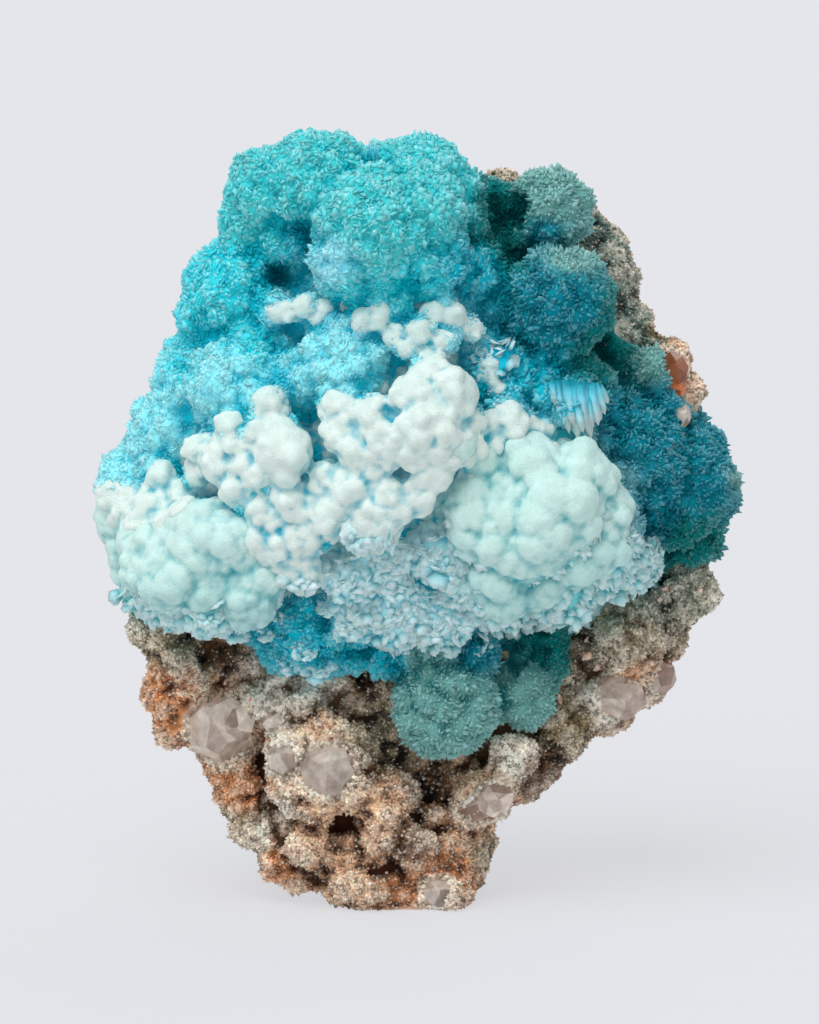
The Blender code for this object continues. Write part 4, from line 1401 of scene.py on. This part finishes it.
class SPECIMEN_OT_quartz(bpy.types.Operator):
    """Cut the bare quartz crystals with crisp worn edges and stain their feet"""

    bl_idname = "specimen.quartz"
    bl_label = "Quartz crystals"

    def execute(self, context):
        material = quartz_material()
        rng = scatter(95)
        clear, amber, stain = finish_colours(("quartz", "quartz_amber", "quartz_stain"))
        for node in quartz_nodes():
            bm = merged_copy(node)
            bmesh.ops.dissolve_limit(
                bm, angle_limit=math.radians(2), verts=bm.verts, edges=bm.edges
            )
            bmesh.ops.bevel(
                bm,
                geom=bm.edges[:],
                offset=0.16 * MM,
                offset_type="OFFSET",
                segments=1,
                profile=0.5,
                affect="EDGES",
                material=-1,
                clamp_overlap=True,
            )
            bmesh.ops.triangulate(bm, faces=bm.faces)
            middle = sum((v.co for v in bm.verts), Vector()) / len(bm.verts)
            grow = Matrix.Translation(middle) @ Matrix.Scale(1.07, 4) @ Matrix.Translation(-middle)
            bmesh.ops.transform(bm, verts=bm.verts, matrix=grow)
            crystal = object_from(bm, node + "_cut")
            mesh = crystal.data
            depth = read(mesh.vertices, "co")[:, 1]
            buried = np.clip((depth - depth.min()) / (depth.max() - depth.min()) * 1.6 - 0.5, 0, 1)
            body = amber if node == "quartz_crystal_rim" else clear
            # Painted light: each facet gets its own brightness, and darker facets turn browner as
            # painted refraction; the iron stain at the buried foot is the quartz's own.
            facet_light = facet_shades(mesh, rng)[:, None]
            set_tint(mesh, blended(body[None], stain[None], buried + 0.8 * (1 - facet_light[:, 0])) * facet_light)
            finish_piece(crystal, material, "clear_quartz", node)
        self.plant_points(material, clear, stain)
        return {"FINISHED"}

    def plant_points(self, material, clear, stain):
        """Small clear points that stand among the rock's druse."""
        tree = tree_of(bpy.data.objects["rock_skin"])
        rng = scatter(90)
        found = [sight(tree, across, up) for across, up, _ in STRAY_POINTS for _ in range(2)]
        count = len(found)
        normals = unit(np.array([normal for _, normal in found]) + 0.8 * rng.normal(size=(count, 3)))
        long = np.repeat([point[2] for point in STRAY_POINTS], 2) * MM * rng.uniform(0.7, 1.3, count)
        places = np.array([place for place, _ in found]) - normals * (0.25 * long)[:, None]
        points = planted(
            "stray_points", point_template(), places, turned_to(normals, rng.uniform(0, 6, count)),
            long[:, None] * np.array((0.7, 0.7, 0.8)),
            np.repeat(stain[None], count, 0), np.repeat(clear[None] * 0.8, count, 0), bend=0.9,
        )
        finish_piece(points, material, "clear_quartz")


class SPECIMEN_OT_stage(bpy.types.Operator):
    """Set up the pale floor, the soft studio light and the camera"""

    bl_idname = "specimen.stage"
    bl_label = "Studio"

    def execute(self, context):
        scene = context.scene
        scene.view_settings.view_transform = "Standard"
        bm = bmesh.new()
        bmesh.ops.create_grid(bm, x_segments=1, y_segments=1, size=FLOOR_REACH)
        floor = object_from(bm, "floor")
        floor.data.materials.append(floor_material())
        self.light_world(scene)
        self.add_sun("key_light", (-0.38, -0.66, 1.2), 2.25, 50)
        self.add_sun("back_light", (0.5, 0.8, 0.9), 0.5, 50)
        self.add_camera(scene)
        return {"FINISHED"}

    def light_world(self, scene):
        world = bpy.data.worlds.new("studio")
        world.use_nodes = True
        background = world.node_tree.nodes["Background"]
        background.inputs["Color"].default_value = (0.93, 0.95, 1.0, 1)
        background.inputs["Strength"].default_value = 0.42
        scene.world = world

    def add_sun(self, name, place, strength, softness):
        lamp = bpy.data.lights.new(name, "SUN")
        lamp.energy = strength
        lamp.angle = math.radians(softness)
        sun = new_object(name, lamp)
        sun.location = place
        sun.rotation_euler = Vector(place).to_track_quat("Z", "Y").to_euler()

    def add_camera(self, scene):
        sizes = settings()
        lens = bpy.data.cameras.new("camera")
        lens.lens = lens.sensor_width * sizes.camera_distance / sizes.camera_frame
        lens.clip_end = 100
        camera = new_object("camera", lens)
        back = Vector((0, -math.cos(VIEW_TILT), math.sin(VIEW_TILT)))
        height = (AIM_UP - SEEN_RISE) / math.cos(VIEW_TILT)
        target = Vector((AIM_ACROSS, 0, height)) * MM
        camera.location = target + back * sizes.camera_distance
        camera.rotation_euler = back.to_track_quat("Z", "Y").to_euler()
        scene.camera = camera


class SPECIMEN_PT_panel(bpy.types.Panel):
    bl_idname = "SPECIMEN_PT_panel"
    bl_label = "Specimen"
    bl_space_type = "VIEW_3D"
    bl_region_type = "UI"
    bl_category = "Specimen"

    def draw(self, context):
        for operator in OPERATORS:
            self.layout.operator(operator.bl_idname)
        for group in (context.scene.specimen_sizes, context.scene.specimen_colours):
            box = self.layout.box()
            for name in group.bl_rna.properties.keys():
                if name not in ("name", "rna_type"):
                    box.prop(group, name)


OPERATORS = (
    SPECIMEN_OT_stage,
    SPECIMEN_OT_rock,
    SPECIMEN_OT_crust,
    SPECIMEN_OT_rock_druse,
    SPECIMEN_OT_mounds,
    SPECIMEN_OT_blades,
    SPECIMEN_OT_leaf,
    SPECIMEN_OT_quartz,
)
CLASSES = (SpecimenColours, SpecimenSizes, *OPERATORS, SPECIMEN_PT_panel)


def register():
    for kind in CLASSES:
        bpy.utils.register_class(kind)
    bpy.types.Scene.specimen_colours = PointerProperty(type=SpecimenColours)
    bpy.types.Scene.specimen_sizes = PointerProperty(type=SpecimenSizes)


def unregister():
    del bpy.types.Scene.specimen_sizes
    del bpy.types.Scene.specimen_colours
    for kind in reversed(CLASSES):
        bpy.utils.unregister_class(kind)


def main():
    register()
    for operator in OPERATORS:
        group, name = operator.bl_idname.split(".")
        getattr(getattr(bpy.ops, group), name)()


if __name__ == "__main__":
    main()
